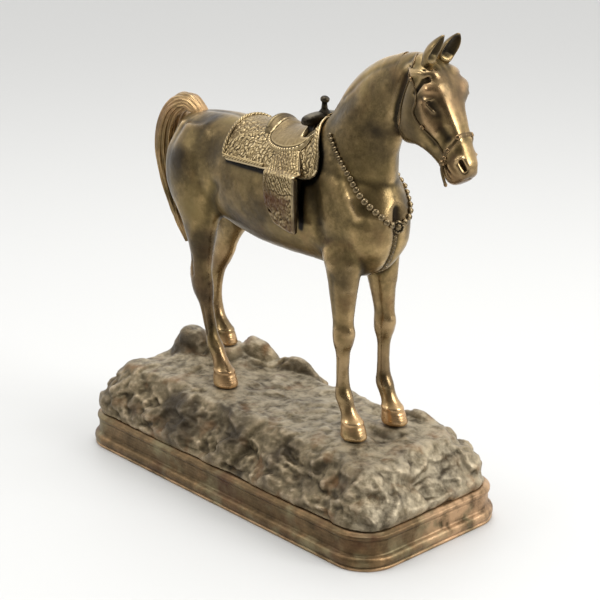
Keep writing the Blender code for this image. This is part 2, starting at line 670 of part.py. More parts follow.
def build_fenders(tree, group, finish):
    """A fender over each side of the skirts, thick below their hem, and the stirrup under it."""
    for name, side in (("left", 1), ("right", -1)):
        lower, upper = [], []
        turns = (0.7, 0.76, 0.82, 0.89, 0.96)
        below = SKIRT_HEM - 1.2
        for i in range(5):
            t = i / 4
            x = FENDER_REAR + (FENDER_FRONT - FENDER_REAR) * t
            spots = [(x - FENDER_SLANT * t * (1 - turn), side * turn) for turn in turns]
            inner = [back_point(tree, *spot, OVER_SKIRTS) for spot in spots]
            inner += [Vector((x, side * 35.6, SKIRT_HEM + 0.5)), Vector((x, side * 35.6, below))]
            inner += [Vector((x, side * FENDER_INNER, below - 0.4)), Vector((x, side * FENDER_INNER, FENDER_FOOT))]
            outer = [back_point(tree, *spot, OVER_SKIRTS + 1.6) for spot in spots]
            outer += [Vector((x, side * FENDER_OUTER, z)) for z in (SKIRT_HEM + 1, below, below - 0.5, FENDER_FOOT)]
            lower.append(inner)
            upper.append(outer)
        between(f"fender_{name}", lower, upper, group, finish)
        ends = sorted((side * FENDER_INNER, side * FENDER_OUTER))
        add(f"stirrup_{name}", plate(STIRRUP_OUTLINE, *ends, "stirrup"), group, finish)


def on_surface(tree, point, away):
    """The point of the skin nearest to a rough point, moved off it."""
    spot, normal, _, _ = tree.find_nearest(Vector(point) * MM)
    return spot + normal * away * MM


def strand(name, points, radius, group, finish, tree):
    """A tube that follows the skin through rough points."""
    rows = [tuple(p) for p in points]
    path = []
    steps = (len(rows) - 1) * 3
    for k in range(steps + 1):
        rough = smooth_row(rows, k * (len(rows) - 1) / steps)
        path.append(on_surface(tree, rough, radius + 0.75))
    data = bpy.data.curves.new(name, "CURVE")
    data.dimensions, data.bevel_depth, data.bevel_resolution = "3D", radius * MM, 1
    data.use_fill_caps = True
    spline = data.splines.new("POLY")
    spline.points.add(len(path) - 1)
    for spot, point in zip(spline.points, path):
        spot.co = (*point, 1)
    mesh = baked(add(name, data, group))
    add(name, mesh, group, finish)


COLLAR_RIGHT = [
    (62, -18, 247.5), (71, -18.5, 237), (78.5, -20, 229.3), (84.6, -20, 222.5), (90, -17.5, 214),
    (95.5, -13.5, 207), (100, -8, 199.7), (101, -5, 196.5),
]
DROP_STRAP = [(102.5, 0, 190), (100, 0, 182), (95, 0, 174), (88, 0, 166)]
CONCHO = (104.5, 0, 195)


def build_breast_collar(tree, group, finish):
    strand("breast_collar_right", COLLAR_RIGHT, 1.1, group, finish, tree)
    strand("breast_collar_left", [(x, -y, z) for x, y, z in COLLAR_RIGHT], 1.1, group, finish, tree)
    strand("breast_drop_strap", DROP_STRAP, 1.1, group, finish, tree)
    spot, normal, _, _ = tree.find_nearest(Vector(CONCHO) * MM)
    made = bmesh.new()
    turn = normal.to_track_quat("Z", "Y").to_matrix().to_4x4()
    place = Matrix.Translation(spot + normal * 1.9 * MM) @ turn
    bmesh.ops.create_cone(made, cap_ends=True, segments=16, radius1=3.6 * MM, radius2=3.0 * MM, depth=1.8 * MM, matrix=place)
    mesh = bpy.data.meshes.new("concho")
    made.to_mesh(mesh)
    made.free()
    add("chest_concho", mesh, group, finish)


BIT_SHANK = [(145, 9.0, 242.5), (145.6, 9.2, 238), (147, 9.2, 234), (148, 8.8, 230.5)]


def build_bit(group, finish):
    for name, side in (("bit_shank_left", 1), ("bit_shank_right", -1)):
        data = bpy.data.curves.new(name, "CURVE")
        data.dimensions, data.bevel_depth, data.bevel_resolution = "3D", 0.9 * MM, 1
        data.use_fill_caps = True
        spline = data.splines.new("POLY")
        spline.points.add(len(BIT_SHANK) - 1)
        for spot, (x, y, z) in zip(spline.points, BIT_SHANK):
            spot.co = (x * MM, side * y * MM, z * MM, 1)
        mesh = baked(add(name, data, group))
        add(name, mesh, group, finish)


def main():
    clear_scene()
    group, helpers = collection("saddled_horse_statuette"), collection("cutters")
    horse_bronze = material("horse_bronze", BRONZE, 0.42, 0.9)
    tack_bronze = material("tack_bronze", TACK_BRONZE, 0.38, 0.9)
    saddle_bronze = material("saddle_bronze", SADDLE_BRONZE, 0.4, 0.9)
    rock_bronze = material("rock_bronze", ROCK_BRONZE, 0.6, 0.8)
    plinth_bronze = material("plinth_bronze", PLINTH_BRONZE, 0.4, 0.9)
    felt = material("felt", (0.05, 0.09, 0.05, 1.0), 0.95, 0.0)
    steel = material("steel", (0.5, 0.5, 0.5, 1.0), 0.35, 1.0)
    build_plinth(group, plinth_bronze)
    build_felt(group, felt)
    build_rock(group, helpers, rock_bronze)
    build_fasteners(group, steel)
    blank = build_horse(group, helpers, horse_bronze)
    build_ears(blank, group, helpers, horse_bronze)
    tree = BVHTree.FromPolygons([v.co for v in blank.vertices], [tuple(p.vertices) for p in blank.polygons])
    build_skirts(tree, group, saddle_bronze)
    build_seat(tree, group, saddle_bronze)
    build_cantle(tree, group, saddle_bronze)
    build_fork(tree, group, saddle_bronze)
    build_fenders(tree, group, saddle_bronze)
    build_breast_collar(tree, group, tack_bronze)
    build_bit(group, tack_bronze)


main()
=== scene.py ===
"""Bronze statuette of a saddled horse: the visual model, camera, light and floor.

Tables and strokes are in millimetres in the CAD frame: +X the way the horse faces, +Y its left, +Z up.
"""

import math

import bmesh
import bpy
import numpy as np
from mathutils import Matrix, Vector
from mathutils.bvhtree import BVHTree


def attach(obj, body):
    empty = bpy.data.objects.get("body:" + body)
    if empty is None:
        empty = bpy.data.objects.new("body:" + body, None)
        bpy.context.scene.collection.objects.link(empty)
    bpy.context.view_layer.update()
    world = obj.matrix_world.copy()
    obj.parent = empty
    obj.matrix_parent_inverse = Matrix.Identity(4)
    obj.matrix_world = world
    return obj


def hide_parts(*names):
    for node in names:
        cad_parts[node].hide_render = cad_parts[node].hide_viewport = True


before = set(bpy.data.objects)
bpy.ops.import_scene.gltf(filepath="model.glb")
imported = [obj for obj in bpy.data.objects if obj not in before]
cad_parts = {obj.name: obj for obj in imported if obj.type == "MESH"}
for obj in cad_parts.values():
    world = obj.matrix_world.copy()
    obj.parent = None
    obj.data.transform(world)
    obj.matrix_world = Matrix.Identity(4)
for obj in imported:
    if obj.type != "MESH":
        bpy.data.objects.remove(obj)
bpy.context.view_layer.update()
MM = 0.001
STATUE, SADDLE = "statue", "saddle"

# ---------------------------------------------------------------- measurements
BASE_LENGTH, BASE_WIDTH, BASE_CORNER = 290.0, 131.0, 25.0
PLINTH_HEIGHT, ROCK_INSET, PLATEAU, LEG_JOINT, SEAM = 23.5, 5.2, 57.0, 154.0, 0.03
TRUNK = [
    (-98, 226, 202, 8), (-92, 236, 189, 17), (-80, 241, 179, 23.5), (-62, 243, 173, 26.5),
    (-44, 243.5, 172, 27), (-26, 241, 167.5, 27.8), (-6, 238.5, 164, 28.6), (14, 238, 163, 28.4),
    (34, 241, 163, 27.5), (52, 245, 162, 25.5), (70, 243, 159.5, 24), (86, 233, 162, 21.5),
    (97, 221, 172, 16.5), (103, 209, 189, 8),
]
NECK = [
    ((80, 186), (37, 242), 23), ((96, 207), (47, 254), 19.5), ((98, 222), (55, 264), 17),
    ((98.5, 234), (63, 275), 15), ((101, 243), (74, 285), 13.5), ((104, 250), (87, 293), 12.5),
    ((108, 254), (101, 298), 11.5), ((113, 257), (114, 301.4), 10.8), ((119, 262), (124, 301.6), 9.5),
]
HEAD = [
    ((121, 302), (108, 263), 9.5), ((131, 299), (108, 253), 12.9), ((139, 290), (113, 248.5), 14.2),
    ((145, 279), (122, 248.5), 13.4), ((150, 269), (129, 245.5), 10.2), ((154, 260), (135, 241.5), 8.3),
    ((158, 251), (140, 237), 7.5), ((161.5, 243.5), (142.5, 232.5), 7.7), ((161.5, 238), (145.6, 229.8), 6.4),
    ((157.5, 233.3), (149.5, 229.2), 4.0),
]
FORELEG = [
    (190, 54, 92, 13, 9), (174, 58, 89, 15, 9), (160, 62.5, 86, 16.3, 8), (146, 66, 84.5, 17.3, 6.8),
    (134, 68.8, 83.6, 18, 5.8), (127, 69.2, 84.4, 18, 6.6), (120, 69.8, 83.4, 18, 6.3),
    (113, 71.8, 81, 18, 4.7),
    (102, 72, 80.4, 18, 4.2), (92, 72, 81, 18, 4.6), (85, 71.4, 84, 18, 5.6), (79, 74, 86, 18, 4.9),
    (74, 76.5, 89.5, 18, 5.2), (70.5, 77.5, 92.5, 18, 6.6), (59.2, 77.5, 97, 18.3, 8.3),
]
HIND_RIGHT = [
    (236, -84, -48, 11, 10), (218, -94, -42, 13.5, 14), (200, -96, -41, 15, 14.3),
    (184, -90, -41, 16.5, 12.5),
    (170, -79, -46.5, 17.5, 10), (157, -73, -49.5, 18, 7.6), (146, -70, -51, 18.5, 6),
    (137, -70, -51.5, 19, 5.6),
    (129, -70, -50.5, 19, 5.9), (121, -67.5, -50, 19, 5.6), (113, -61.5, -50.5, 19, 4.6),
    (101, -57.5, -48, 19, 4.2),
    (92, -54.5, -45.5, 19, 4.6), (85.5, -53.5, -40.5, 19, 5.6), (79.5, -49.5, -37.5, 19, 5),
    (74, -47.5, -33, 19, 5.4),
    (70.5, -46.5, -30, 19, 6.6), (59.7, -46, -26.5, 19.3, 8.3),
]
HIND_LEFT = [
    (236, -84, -48, 11, 10), (218, -94, -42, 13.5, 14), (200, -97, -41, 15, 14.3),
    (186, -93, -43, 16.5, 12.5),
    (174, -88, -48, 17.5, 10.5), (162, -86.5, -56, 17.7, 8.2), (152, -87, -64, 18.2, 6.6),
    (145, -89.5, -69, 18.7, 5.8),
    (138, -92, -72.5, 19, 5.9), (131, -93.5, -77, 19, 5.6), (122, -94.5, -83.5, 19, 4.6),
    (111, -96, -86.5, 19, 4.2),
    (102, -97, -87.5, 19, 4.6), (95, -99.5, -86.5, 19, 5.6), (89, -96, -84, 19, 5),
    (83.5, -93, -78.5, 19, 5.4),
    (80, -92, -75.5, 19, 6.6), (69.2, -91.7, -72.3, 19.3, 8.3),
]
TAIL = [
    (-76, 233, 4.5, 5.5), (-83.5, 240.5, 5, 6.2), (-91, 244.2, 5.6, 7), (-99.5, 243.3, 6.6, 8.4),
    (-107.5, 237, 7.6, 10),
    (-113.5, 225, 8.4, 11), (-116, 210, 8.6, 11), (-114.5, 195, 8, 10.5), (-110.5, 181, 7, 9.5),
    (-105, 168, 5.8, 8), (-100, 156, 4.6, 6), (-96.5, 146, 2.6, 3.4),
]
HOOVES = {
    "foreleg_right": (87, -18.3, 59.0), "foreleg_left": (87, 18.3, 59.0),
    "hindleg_right": (-36.5, -19.3, 59.5), "hindleg_left": (-82, 19.3, 69.0),
}
BOULDERS = [
    (-106, 8, 77, 16, 16), (-68, 40, 72, 18, 15), (-30, 49, 72, 23, 15), (86, 49, 65, 17, 13),
    (-120, -26, 58, 12, 14), (118, 20, 56, 14, 16), (10, -48, 56, 20, 10),
]
NECK_JOINT = ((76.5, 0, 233.5), (0.63, 0, 0.78))
HEAD_JOINT = ((106.5, 0, 277), (0.998, 0, -0.06))


# ---------------------------------------------------------------- numbers into shapes
def smooth_row(rows, t):
    """A table's row at the fractional index t, on a Catmull-Rom curve through its rows."""
    i = min(int(t), len(rows) - 2)
    u = t - i
    a, b = rows[max(i - 1, 0)], rows[i]
    c, d = rows[i + 1], rows[min(i + 2, len(rows) - 1)]
    return [
        0.5 * (2 * q + (r - p) * u + (2 * p - 5 * q + 4 * r - s) * u * u + (3 * q - p - 3 * r + s) * u ** 3)
        for p, q, r, s in zip(a, b, c, d)
    ]


def smooth_path(points, count):
    """Points spread along a Catmull-Rom curve through the given ones."""
    return np.array([smooth_row(points, k * (len(points) - 1) / (count - 1)) for k in range(count)], float)


def smoothstep(low, high, value):
    t = np.clip((value - low) / (high - low), 0, 1)
    return t * t * (3 - 2 * t)


def lattice(ix, iy, iz, seed):
    """A repeatable number from 0 to 1 for each whole-number cell."""
    mixed = (ix * 73856093) ^ (iy * 19349663) ^ (iz * 83492791) ^ (seed * 6542989)
    mixed = (mixed ^ (mixed >> 13)) * 1274126177 & 0x7FFFFFFF
    return ((mixed ^ (mixed >> 15)) & 0xFFFFF) / 0xFFFFF


def noise(points, scale, seed=0):
    """Smooth noise from -1 to 1 with features about scale mm across."""
    p = np.asarray(points, float) / scale
    cell = np.floor(p).astype(np.int64)
    f = p - cell
    f = f * f * f * (f * (f * 6 - 15) + 10)
    total = 0
    for dx in (0, 1):
        for dy in (0, 1):
            for dz in (0, 1):
                weight = (f[:, 0] if dx else 1 - f[:, 0]) * (f[:, 1] if dy else 1 - f[:, 1])
                weight = weight * (f[:, 2] if dz else 1 - f[:, 2])
                total = total + weight * lattice(cell[:, 0] + dx, cell[:, 1] + dy, cell[:, 2] + dz, seed)
    return total * 2 - 1


def rough_noise(points, scale, octaves, seed=0, ridged=False):
    total, size, weight = 0, scale, 1.0
    for k in range(octaves):
        layer = noise(points, size, seed + 17 * k)
        total = total + weight * ((1 - 2 * np.abs(layer)) if ridged else layer)
        size, weight = size / 2.05, weight * 0.52
    return total


def cells(points, scale, seed=0):
    """Distance to the nearest and the second nearest of scattered points, in cells."""
    p = np.asarray(points, float) / scale
    base = np.floor(p).astype(np.int64)
    first = np.full(len(p), 9.0)
    second = first.copy()
    for dx in (-1, 0, 1):
        for dy in (-1, 0, 1):
            for dz in (-1, 0, 1):
                c = base + (dx, dy, dz)
                spot = np.stack([c[:, k] + lattice(c[:, 0], c[:, 1], c[:, 2],
                    seed + 31 * k) for k in range(3)], 1)
                away = np.linalg.norm(spot - p, axis=1)
                second = np.minimum(second, np.maximum(first, away))
                first = np.minimum(first, away)
    return first, second


def section_rings(rows, side=1, per_row=6, count=44, power=2.0, front_power=None):
    """Rings from rows of front x, front z, rear x, rear z, y, half width. A power over 2 squares them off."""
    rings = []
    for step in range((len(rows) - 1) * per_row + 1):
        fx, fz, rx, rz, y, half = smooth_row(rows, step / per_row)
        middle = np.array(((fx + rx) / 2, side * y, (fz + rz) / 2))
        reach = np.array(((fx - rx) / 2, 0, (fz - rz) / 2))
        across = np.array((0, max(half, 0.5), 0))
        ring = []
        for k in range(count):
            c, s = math.cos(2 * math.pi * k / count), math.sin(2 * math.pi * k / count)
            square = front_power if front_power and c > 0 else power
            fill = (abs(c) ** square + abs(s) ** square) ** (-1 / square)
            ring.append(middle + reach * c * fill + across * s * fill)
        rings.append(ring)
    return rings


def spine_rows(table):
    return [(front[0], front[1], rear[0], rear[1], 0, half) for front, rear, half in table]


def leg_rows(table):
    return [(front, z, rear, z, y, half) for z, rear, front, y, half in table]


def trunk_rows():
    return [(x, top, x, bottom, 0, half) for x, top, bottom, half in TRUNK]


def mesh_from(points, faces, name):
    mesh = bpy.data.meshes.new(name)
    mesh.from_pydata((np.asarray(points) * MM).tolist(), [], [tuple(int(i) for i in f) for f in faces])
    mesh.validate()
    return mesh


def loft(rings):
    """Points and faces of a closed tube through rings of equal length."""
    count = len(rings[0])
    points = np.array([p for ring in rings for p in ring], float)
    faces = []
    for i in range(len(rings) - 1):
        for k in range(count):
            m = (k + 1) % count
            faces.append((i * count + k, i * count + m, (i + 1) * count + m, (i + 1) * count + k))
    faces.append(tuple(range(count))[::-1])
    last = (len(rings) - 1) * count
    faces.append(tuple(range(last, last + count)))
    return points, faces


def outward(mesh):
    made = bmesh.new()
    made.from_mesh(mesh)
    bmesh.ops.recalc_face_normals(made, faces=made.faces)
    made.to_mesh(mesh)
    made.free()
    return mesh


def joined(parts, name):
    points, faces, start = [], [], 0
    for p, f in parts:
        points.append(p)
        faces += [tuple(i + start for i in face) for face in f]
        start += len(p)
    return outward(mesh_from(np.concatenate(points), faces, name))


def baked(mesh, *modifiers):
    """The mesh after a list of (type, settings) modifiers."""
    item = bpy.data.objects.new("work", mesh)
    bpy.context.scene.collection.objects.link(item)
    for kind, settings in modifiers:
        modifier = item.modifiers.new(kind, kind)
        for key, value in settings.items():
            setattr(modifier, key, value)
    graph = bpy.context.evaluated_depsgraph_get()
    done = bpy.data.meshes.new_from_object(item.evaluated_get(graph))
    bpy.data.objects.remove(item)
    return done


class Skin:
    """A mesh held as arrays in millimetres while it is being modelled."""

    def __init__(self, mesh):
        self.points = np.empty(len(mesh.vertices) * 3)
        mesh.vertices.foreach_get("co", self.points)
        self.points = self.points.reshape(-1, 3) / MM
        self.mesh = mesh
        ends = np.empty(len(mesh.edges) * 2, np.int64)
        mesh.edges.foreach_get("vertices", ends)
        self.ends = ends.reshape(-1, 2)
        self.degree = np.bincount(self.ends.ravel(), minlength=len(self.points)).clip(1)

    def store(self):
        self.mesh.vertices.foreach_set("co", (self.points * MM).ravel())
        self.mesh.update()

    def normals(self):
        self.store()
        found = np.empty(len(self.points) * 3)
        self.mesh.vertices.foreach_get("normal", found)
        return found.reshape(-1, 3)

    def neighbours(self, values):
        """The mean of each point's neighbours."""
        a, b = self.ends[:, 0], self.ends[:, 1]
        n = len(self.points)
        columns = [np.bincount(a, v[b], n) + np.bincount(b, v[a], n) for v in values.T]
        return np.stack(columns, 1) / self.degree[:, None]

    def relax(self, rounds, share=0.5, where=None):
        for _ in range(rounds):
            step = (self.neighbours(self.points) - self.points) * share
            self.points += step if where is None else step * where[:, None]

    def push(self, amount):
        self.points += self.normals() * amount[:, None]

    def relief(self, rounds, name):
        """Stores how far each point stands out from its smoothed surroundings, with 0.5 for level."""
        flat = self.points.copy()
        for _ in range(rounds):
            flat = flat + (self.neighbours(flat) - flat) * 0.7
        height = np.einsum("ij,ij->i", self.points - flat, self.normals())
        spread = np.percentile(np.abs(height), 88) + 1e-6
        value = np.clip(0.5 + 0.35 * height / spread, 0, 1)
        self.layer(name, value)
        return value

    def layer(self, name, values):
        made = self.mesh.attributes.new(name, "FLOAT", "POINT")
        made.data.foreach_set("value", values.astype(np.float32))


def stroke_weight(points, path, radius):
    """1 on the path, falling off smoothly over about its radius."""
    path = np.asarray(path, float).reshape(-1, 3)
    weight = np.zeros(len(points))
    low, high = path.min(0) - radius * 2.6, path.max(0) + radius * 2.6
    near = np.nonzero(((points > low) & (points < high)).all(1))[0]
    if not len(near):
        return weight
    q = points[near]
    best = np.full(len(q), 1e9)
    if len(path) == 1:
        best = ((q - path[0]) ** 2).sum(1)
    for a, b in zip(path, path[1:]):
        along = b - a
        t = np.clip(((q - a) @ along) / max(along @ along, 1e-9), 0, 1)
        best = np.minimum(best, ((q - a - t[:, None] * along) ** 2).sum(1))
    weight[near] = np.exp(-best / radius ** 2)
    return weight


def folded_over(points):
    """The points with those of the side -Y turned over to the side +Y."""
    folded = np.array(points, dtype=float)
    folded[:, 1] = np.abs(folded[:, 1])
    return folded


def sculpt(skin, strokes):
    """Raises or sinks the skin along strokes of (path, radius, height).

    The strokes are given for the side +Y and mirrored.
    """
    folded = folded_over(skin.points)
    amount = np.zeros(len(folded))
    for path, radius, height in strokes:
        amount += stroke_weight(folded, path, radius) * height
    skin.push(amount)


def head_point(s, t, y):
    """A point on the head: s down the face from the poll, t back from the face line."""
    return (127 + 0.5 * s - 0.866 * t, y, 301 - 0.866 * s - 0.5 * t)


def head_path(*points):
    return [head_point(*p) for p in points]


# ---------------------------------------------------------------- the horse
MUSCLES = [
    # shoulder, chest and foreleg
    ([(50, 15, 246), (66, 23, 228), (84, 22, 206)], 8.0, 1.3),
    ([(44, 22, 240), (55, 27, 214), (62, 26, 184)], 5.5, -1.7),
    ([(60, 22, 243), (66, 25, 232), (75, 26, 218)], 2.9, 2.0),
    ([(66, 21, 244), (73, 23, 231), (81, 24, 217)], 2.4, -1.7),
    ([(76, 22, 230), (83, 23, 217), (90, 20, 203)], 3.6, 1.7),
    ([(96, 9, 200), (97, 9, 186)], 8.0, 2.0),
    ([(104, 0, 206), (101, 0, 190), (95, 0, 174), (86, 0, 163)], 3.0, -2.8),
    ([(88, 20, 192), (90, 17, 180)], 6.0, 1.2),
    ([(64, 23, 176), (70, 23, 170)], 6.0, 1.6),
    ([(70, 22, 186), (80, 22, 180), (88, 18, 176)], 6.0, -0.5),
    ([(84, 20, 170), (83, 21, 156)], 4.5, 0.9),
    ([(72, 22, 164), (73, 22, 150), (74, 22, 140)], 2.0, -0.7),
    # barrel, flank and haunch
    ([(-36, 27, 200), (-45, 24, 184), (-50, 20, 174)], 5.0, -1.9),
    ([(-42, 22, 222)], 10.0, -1.5),
    ([(-52, 19, 236)], 7.0, 1.7),
    ([(-46, 26, 190)], 8.0, 1.4),
    ([(-70, 24, 214)], 12.0, 1.2),
    ([(-76, 20, 236), (-84, 22, 208), (-80, 22, 182), (-76, 22, 168)], 3.6, -1.5),
    ([(-92, 16, 214), (-92, 16, 196)], 6.0, 1.2),
    ([(-99, 0, 228), (-97, 0, 206), (-92, 0, 186)], 4.0, -3.2),
    ([(-30, 0, 242), (-78, 0, 243)], 3.5, -0.9),
    ([(-58, 24, 172), (-62, 23, 160)], 4.5, 1.0),
    ([(-20, 28, 205), (10, 29, 203), (36, 28, 203)], 14.0, 0.6),
    ([(-34, 12, 167), (10, 12, 163)], 8.0, -0.5),
    # neck
    ([(98, 13, 220), (104, 12, 242), (109, 9, 256)], 3.2, -1.6),
    ([(90, 19, 214), (97, 16, 240), (108, 13, 264)], 4.5, 1.1),
    ([(58, 13, 257), (72, 13, 272)], 7.0, -1.3),
    ([(50, 0, 258), (74, 0, 286), (101, 0, 299), (120, 0, 302)], 3.0, 0.8),
    ([(64, 9, 270), (88, 9, 289), (106, 8, 296)], 2.2, -0.6),
    ([(118, 11, 292), (113, 11, 276), (109, 9, 262)], 2.8, -1.8),
    ([(99, 0, 224), (101, 0, 244), (106, 0, 254)], 4.0, 0.9),
]
# Legs: side strokes are given at y 19 and serve both sides.
LEG_DETAIL = [
    ([(84, 18, 126)], 4.0, 0.7), ([(69.5, 18, 125)], 2.4, 0.9), ([(76, 24, 122), (76, 24, 129)], 2.6, 0.5),
    ([(76, 23, 110), (75, 23, 92)], 1.2, -0.7), ([(72, 18, 84)], 2.4, 0.8),
    ([(-70, 19, 131), (-70, 19, 136)], 2.6, 1.5), ([(-64, 24.5, 134), (-66, 24.5, 146)], 1.8, -0.9),
    ([(-55, 23.5, 112), (-51, 23.5, 94)], 1.2, -0.7), ([(-53, 19, 85)], 2.4, 0.8),
    ([(-93.5, 19, 138), (-94, 19, 144)], 2.6, 1.5), ([(-86, 24.5, 141), (-84, 24.5, 152)], 1.8, -0.9),
    ([(-91, 23.5, 112), (-92, 23.5, 98)], 1.2, -0.7), ([(-98, 19, 94)], 2.4, 0.8),
]
EYE = head_path((27.6, 1.6, 12.6), (31.6, -0.2, 12))
FACE = [
    (head_path((21, -5, 0)), 8.0, 1.2),
    (head_path((19.8, 0.6, 12.5)), 4.4, 1.7),
    (head_path((20, -4.5, 9.5)), 5.0, 0.9),
    (EYE, 3.6, -1.5),
    (head_path((36, 1.5, 11), (41.5, 4.2, 10), (48, 3.6, 8)), 3.6, -1.3),
    (head_path((26, 7.2, 13), (34.9, 9.4, 12), (42.5, 8.8, 10)), 2.7, 1.0),
    (head_path((27, 19, 12)), 9.0, 1.2),
    (head_path((19, 26, 9), (27, 31, 8.5), (36, 29, 8), (44, 22, 7)), 2.6, 1.0),
    (head_path((38, 14.5, 10), (47, 13.0, 8)), 2.6, -0.9),
    (head_path((33, -5.6, 8.4), (42, -4.6, 7.4), (52, -4.0, 6)), 2.4, 0.8),
    (head_path((38, -6.5, 0), (52, -5.5, 0)), 2.6, -0.5),
    (head_path((50.2, -6, 5), (52.5, 0.5, 8), (55.6, 8.1, 7), (58, 13.5, 5)), 2.8, 0.9),
    (head_path((60.5, 1, 6.6), (64, 5, 6.6)), 2.4, 0.5),
    # the lock that comes forward under each ear, with a groove below it
    (head_path((2, 12, 9.6), (7, 7, 11), (10.7, -0.3, 11), (12.3, -6, 7.5)), 3.1, 2.0),
]
FACE_DETAIL = [
    (EYE, 2.3, 1.9),
    (head_path((23.8, 3.8, 13), (26, -0.6, 12.6), (31, -2.8, 11.6), (36, -1.2, 11)), 1.3, 1.9),
    (head_path((23.8, 3.8, 13), (27.4, 4.9, 13), (32, 3.4, 12), (36, -0.6, 11)), 1.1, 1.1),
    (head_path((24.8, 3.0, 13), (27.6, 0.4, 12.6), (31.4, -1.4, 12), (34.8, -0.8, 11.4)), 0.65, -1.3),
    (head_path((26, 4.0, 13), (30, 3.2, 12.6), (34, 0.9, 11.4)), 0.6, -0.9),
    (head_path((63.8, 2.0, 6.4), (66.2, 1.6, 6.6), (68.8, 1.6, 6.0)), 1.7, -3.2),
    (head_path((62.0, 3.8, 6.8), (61.8, 0.2, 6.8), (66, -1.6, 6.4), (70.6, -0.4, 5.6)), 1.2, 1.3),
    (head_path((61, 13.0, 7.2), (65.5, 12, 6.8), (69.4, 9.6, 5.6), (72, 6.6, 3), (72.6, 5.8, 0)), 0.8, -1.5),
    (head_path((63, 10.8, 6.8), (68, 8.6, 6.0), (71, 4.8, 3.6)), 1.3, 0.6),
    (head_path((66, 14.6, 4.6)), 2.2, 0.5),
    (head_path((18, 9.5, 12.5), (15.9, 5.5, 12.5), (14.2, 2, 12), (14.6, -1.5, 11.4)), 1.3, -2.0),
    (head_path((1, 10, 10), (5.4, 6, 11), (9.0, -1, 11)), 0.6, -0.7),
    (head_path((3.6, 12, 10), (8.4, 6.4, 11.2), (11.8, 0, 11)), 0.55, -0.6),
    # the forelock down the forehead
    (head_path((2, -3.5, 1.8), (12, -7, 2.4), (22, -9, 2.8), (33, -9, 1.2)), 1.4, 0.8),
    (head_path((2, -3.5, 0), (14, -7, 0), (35, -9, 0)), 0.7, -0.7),
]


def horse_skin(tables, voxel, first_voxel=1.2, first_rounds=10):
    mesh = joined([loft(rings) for rings in tables], "horse")
    return Skin(baked(
        mesh,
        ("REMESH", {"mode": "VOXEL", "voxel_size": first_voxel * MM}),
        ("SMOOTH", {"factor": 0.5, "iterations": first_rounds}),
        ("REMESH", {"mode": "VOXEL", "voxel_size": voxel * MM}),
        ("SMOOTH", {"factor": 0.5, "iterations": 6}),
    ))


def body_tables():
    return [
        section_rings(trunk_rows(), power=2.15), section_rings(spine_rows(NECK)),
        section_rings(spine_rows(HEAD), power=2.4, front_power=3.1, count=64),
        section_rings(leg_rows(FORELEG)), section_rings(leg_rows(FORELEG), side=-1),
        section_rings(leg_rows(HIND_LEFT)), section_rings(leg_rows(HIND_RIGHT), side=-1),
    ]


def head_tables():
    return [section_rings(spine_rows(NECK)),
        section_rings(spine_rows(HEAD), power=2.4, front_power=3.1, count=64)]


def cut(mesh, planes):
    """A copy of the mesh kept behind each plane, with the cuts closed."""
    made = bmesh.new()
    made.from_mesh(mesh)
    for point, normal in planes:
        everything = made.verts[:] + made.edges[:] + made.faces[:]
        done = bmesh.ops.bisect_plane(
            made, geom=everything, plane_co=Vector(point) * MM, plane_no=Vector(normal), clear_outer=True
        )
        rim = [e for e in done["geom_cut"] if isinstance(e, bmesh.types.BMEdge)]
        bmesh.ops.triangle_fill(made, edges=rim, use_beauty=False, normal=Vector(normal))
        for edge in rim:
            edge.smooth = False
    piece = bpy.data.meshes.new("piece")
    made.to_mesh(piece)
    made.free()
    return piece


def shifted(plane, away):
    point, normal = plane
    step = Vector(normal).normalized() * away
    return tuple(Vector(point) + step), tuple(normal)


def facing(plane):
    return plane[0], tuple(-v for v in plane[1])


def piece_of(mesh, name, body, finish, replaces=(), smooth=True):
    item = bpy.data.objects.new(name, mesh)
    bpy.context.scene.collection.objects.link(item)
    mesh.materials.clear()
    mesh.materials.append(finish)
    if smooth:
        mesh.polygons.foreach_set("use_smooth", [True] * len(mesh.polygons))
    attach(item, body)
    if replaces:
        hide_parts(*replaces)
    return item


# ---------------------------------------------------------------- finishes
def ramp(tree, stops):
    node = tree.nodes.new("ShaderNodeValToRGB")
    elements = node.color_ramp.elements
    for k, (place, colour) in enumerate(stops):
        spot = elements[k] if k < 2 else elements.new(place)
        spot.position = place
        spot.color = (*colour, 1)
    return node


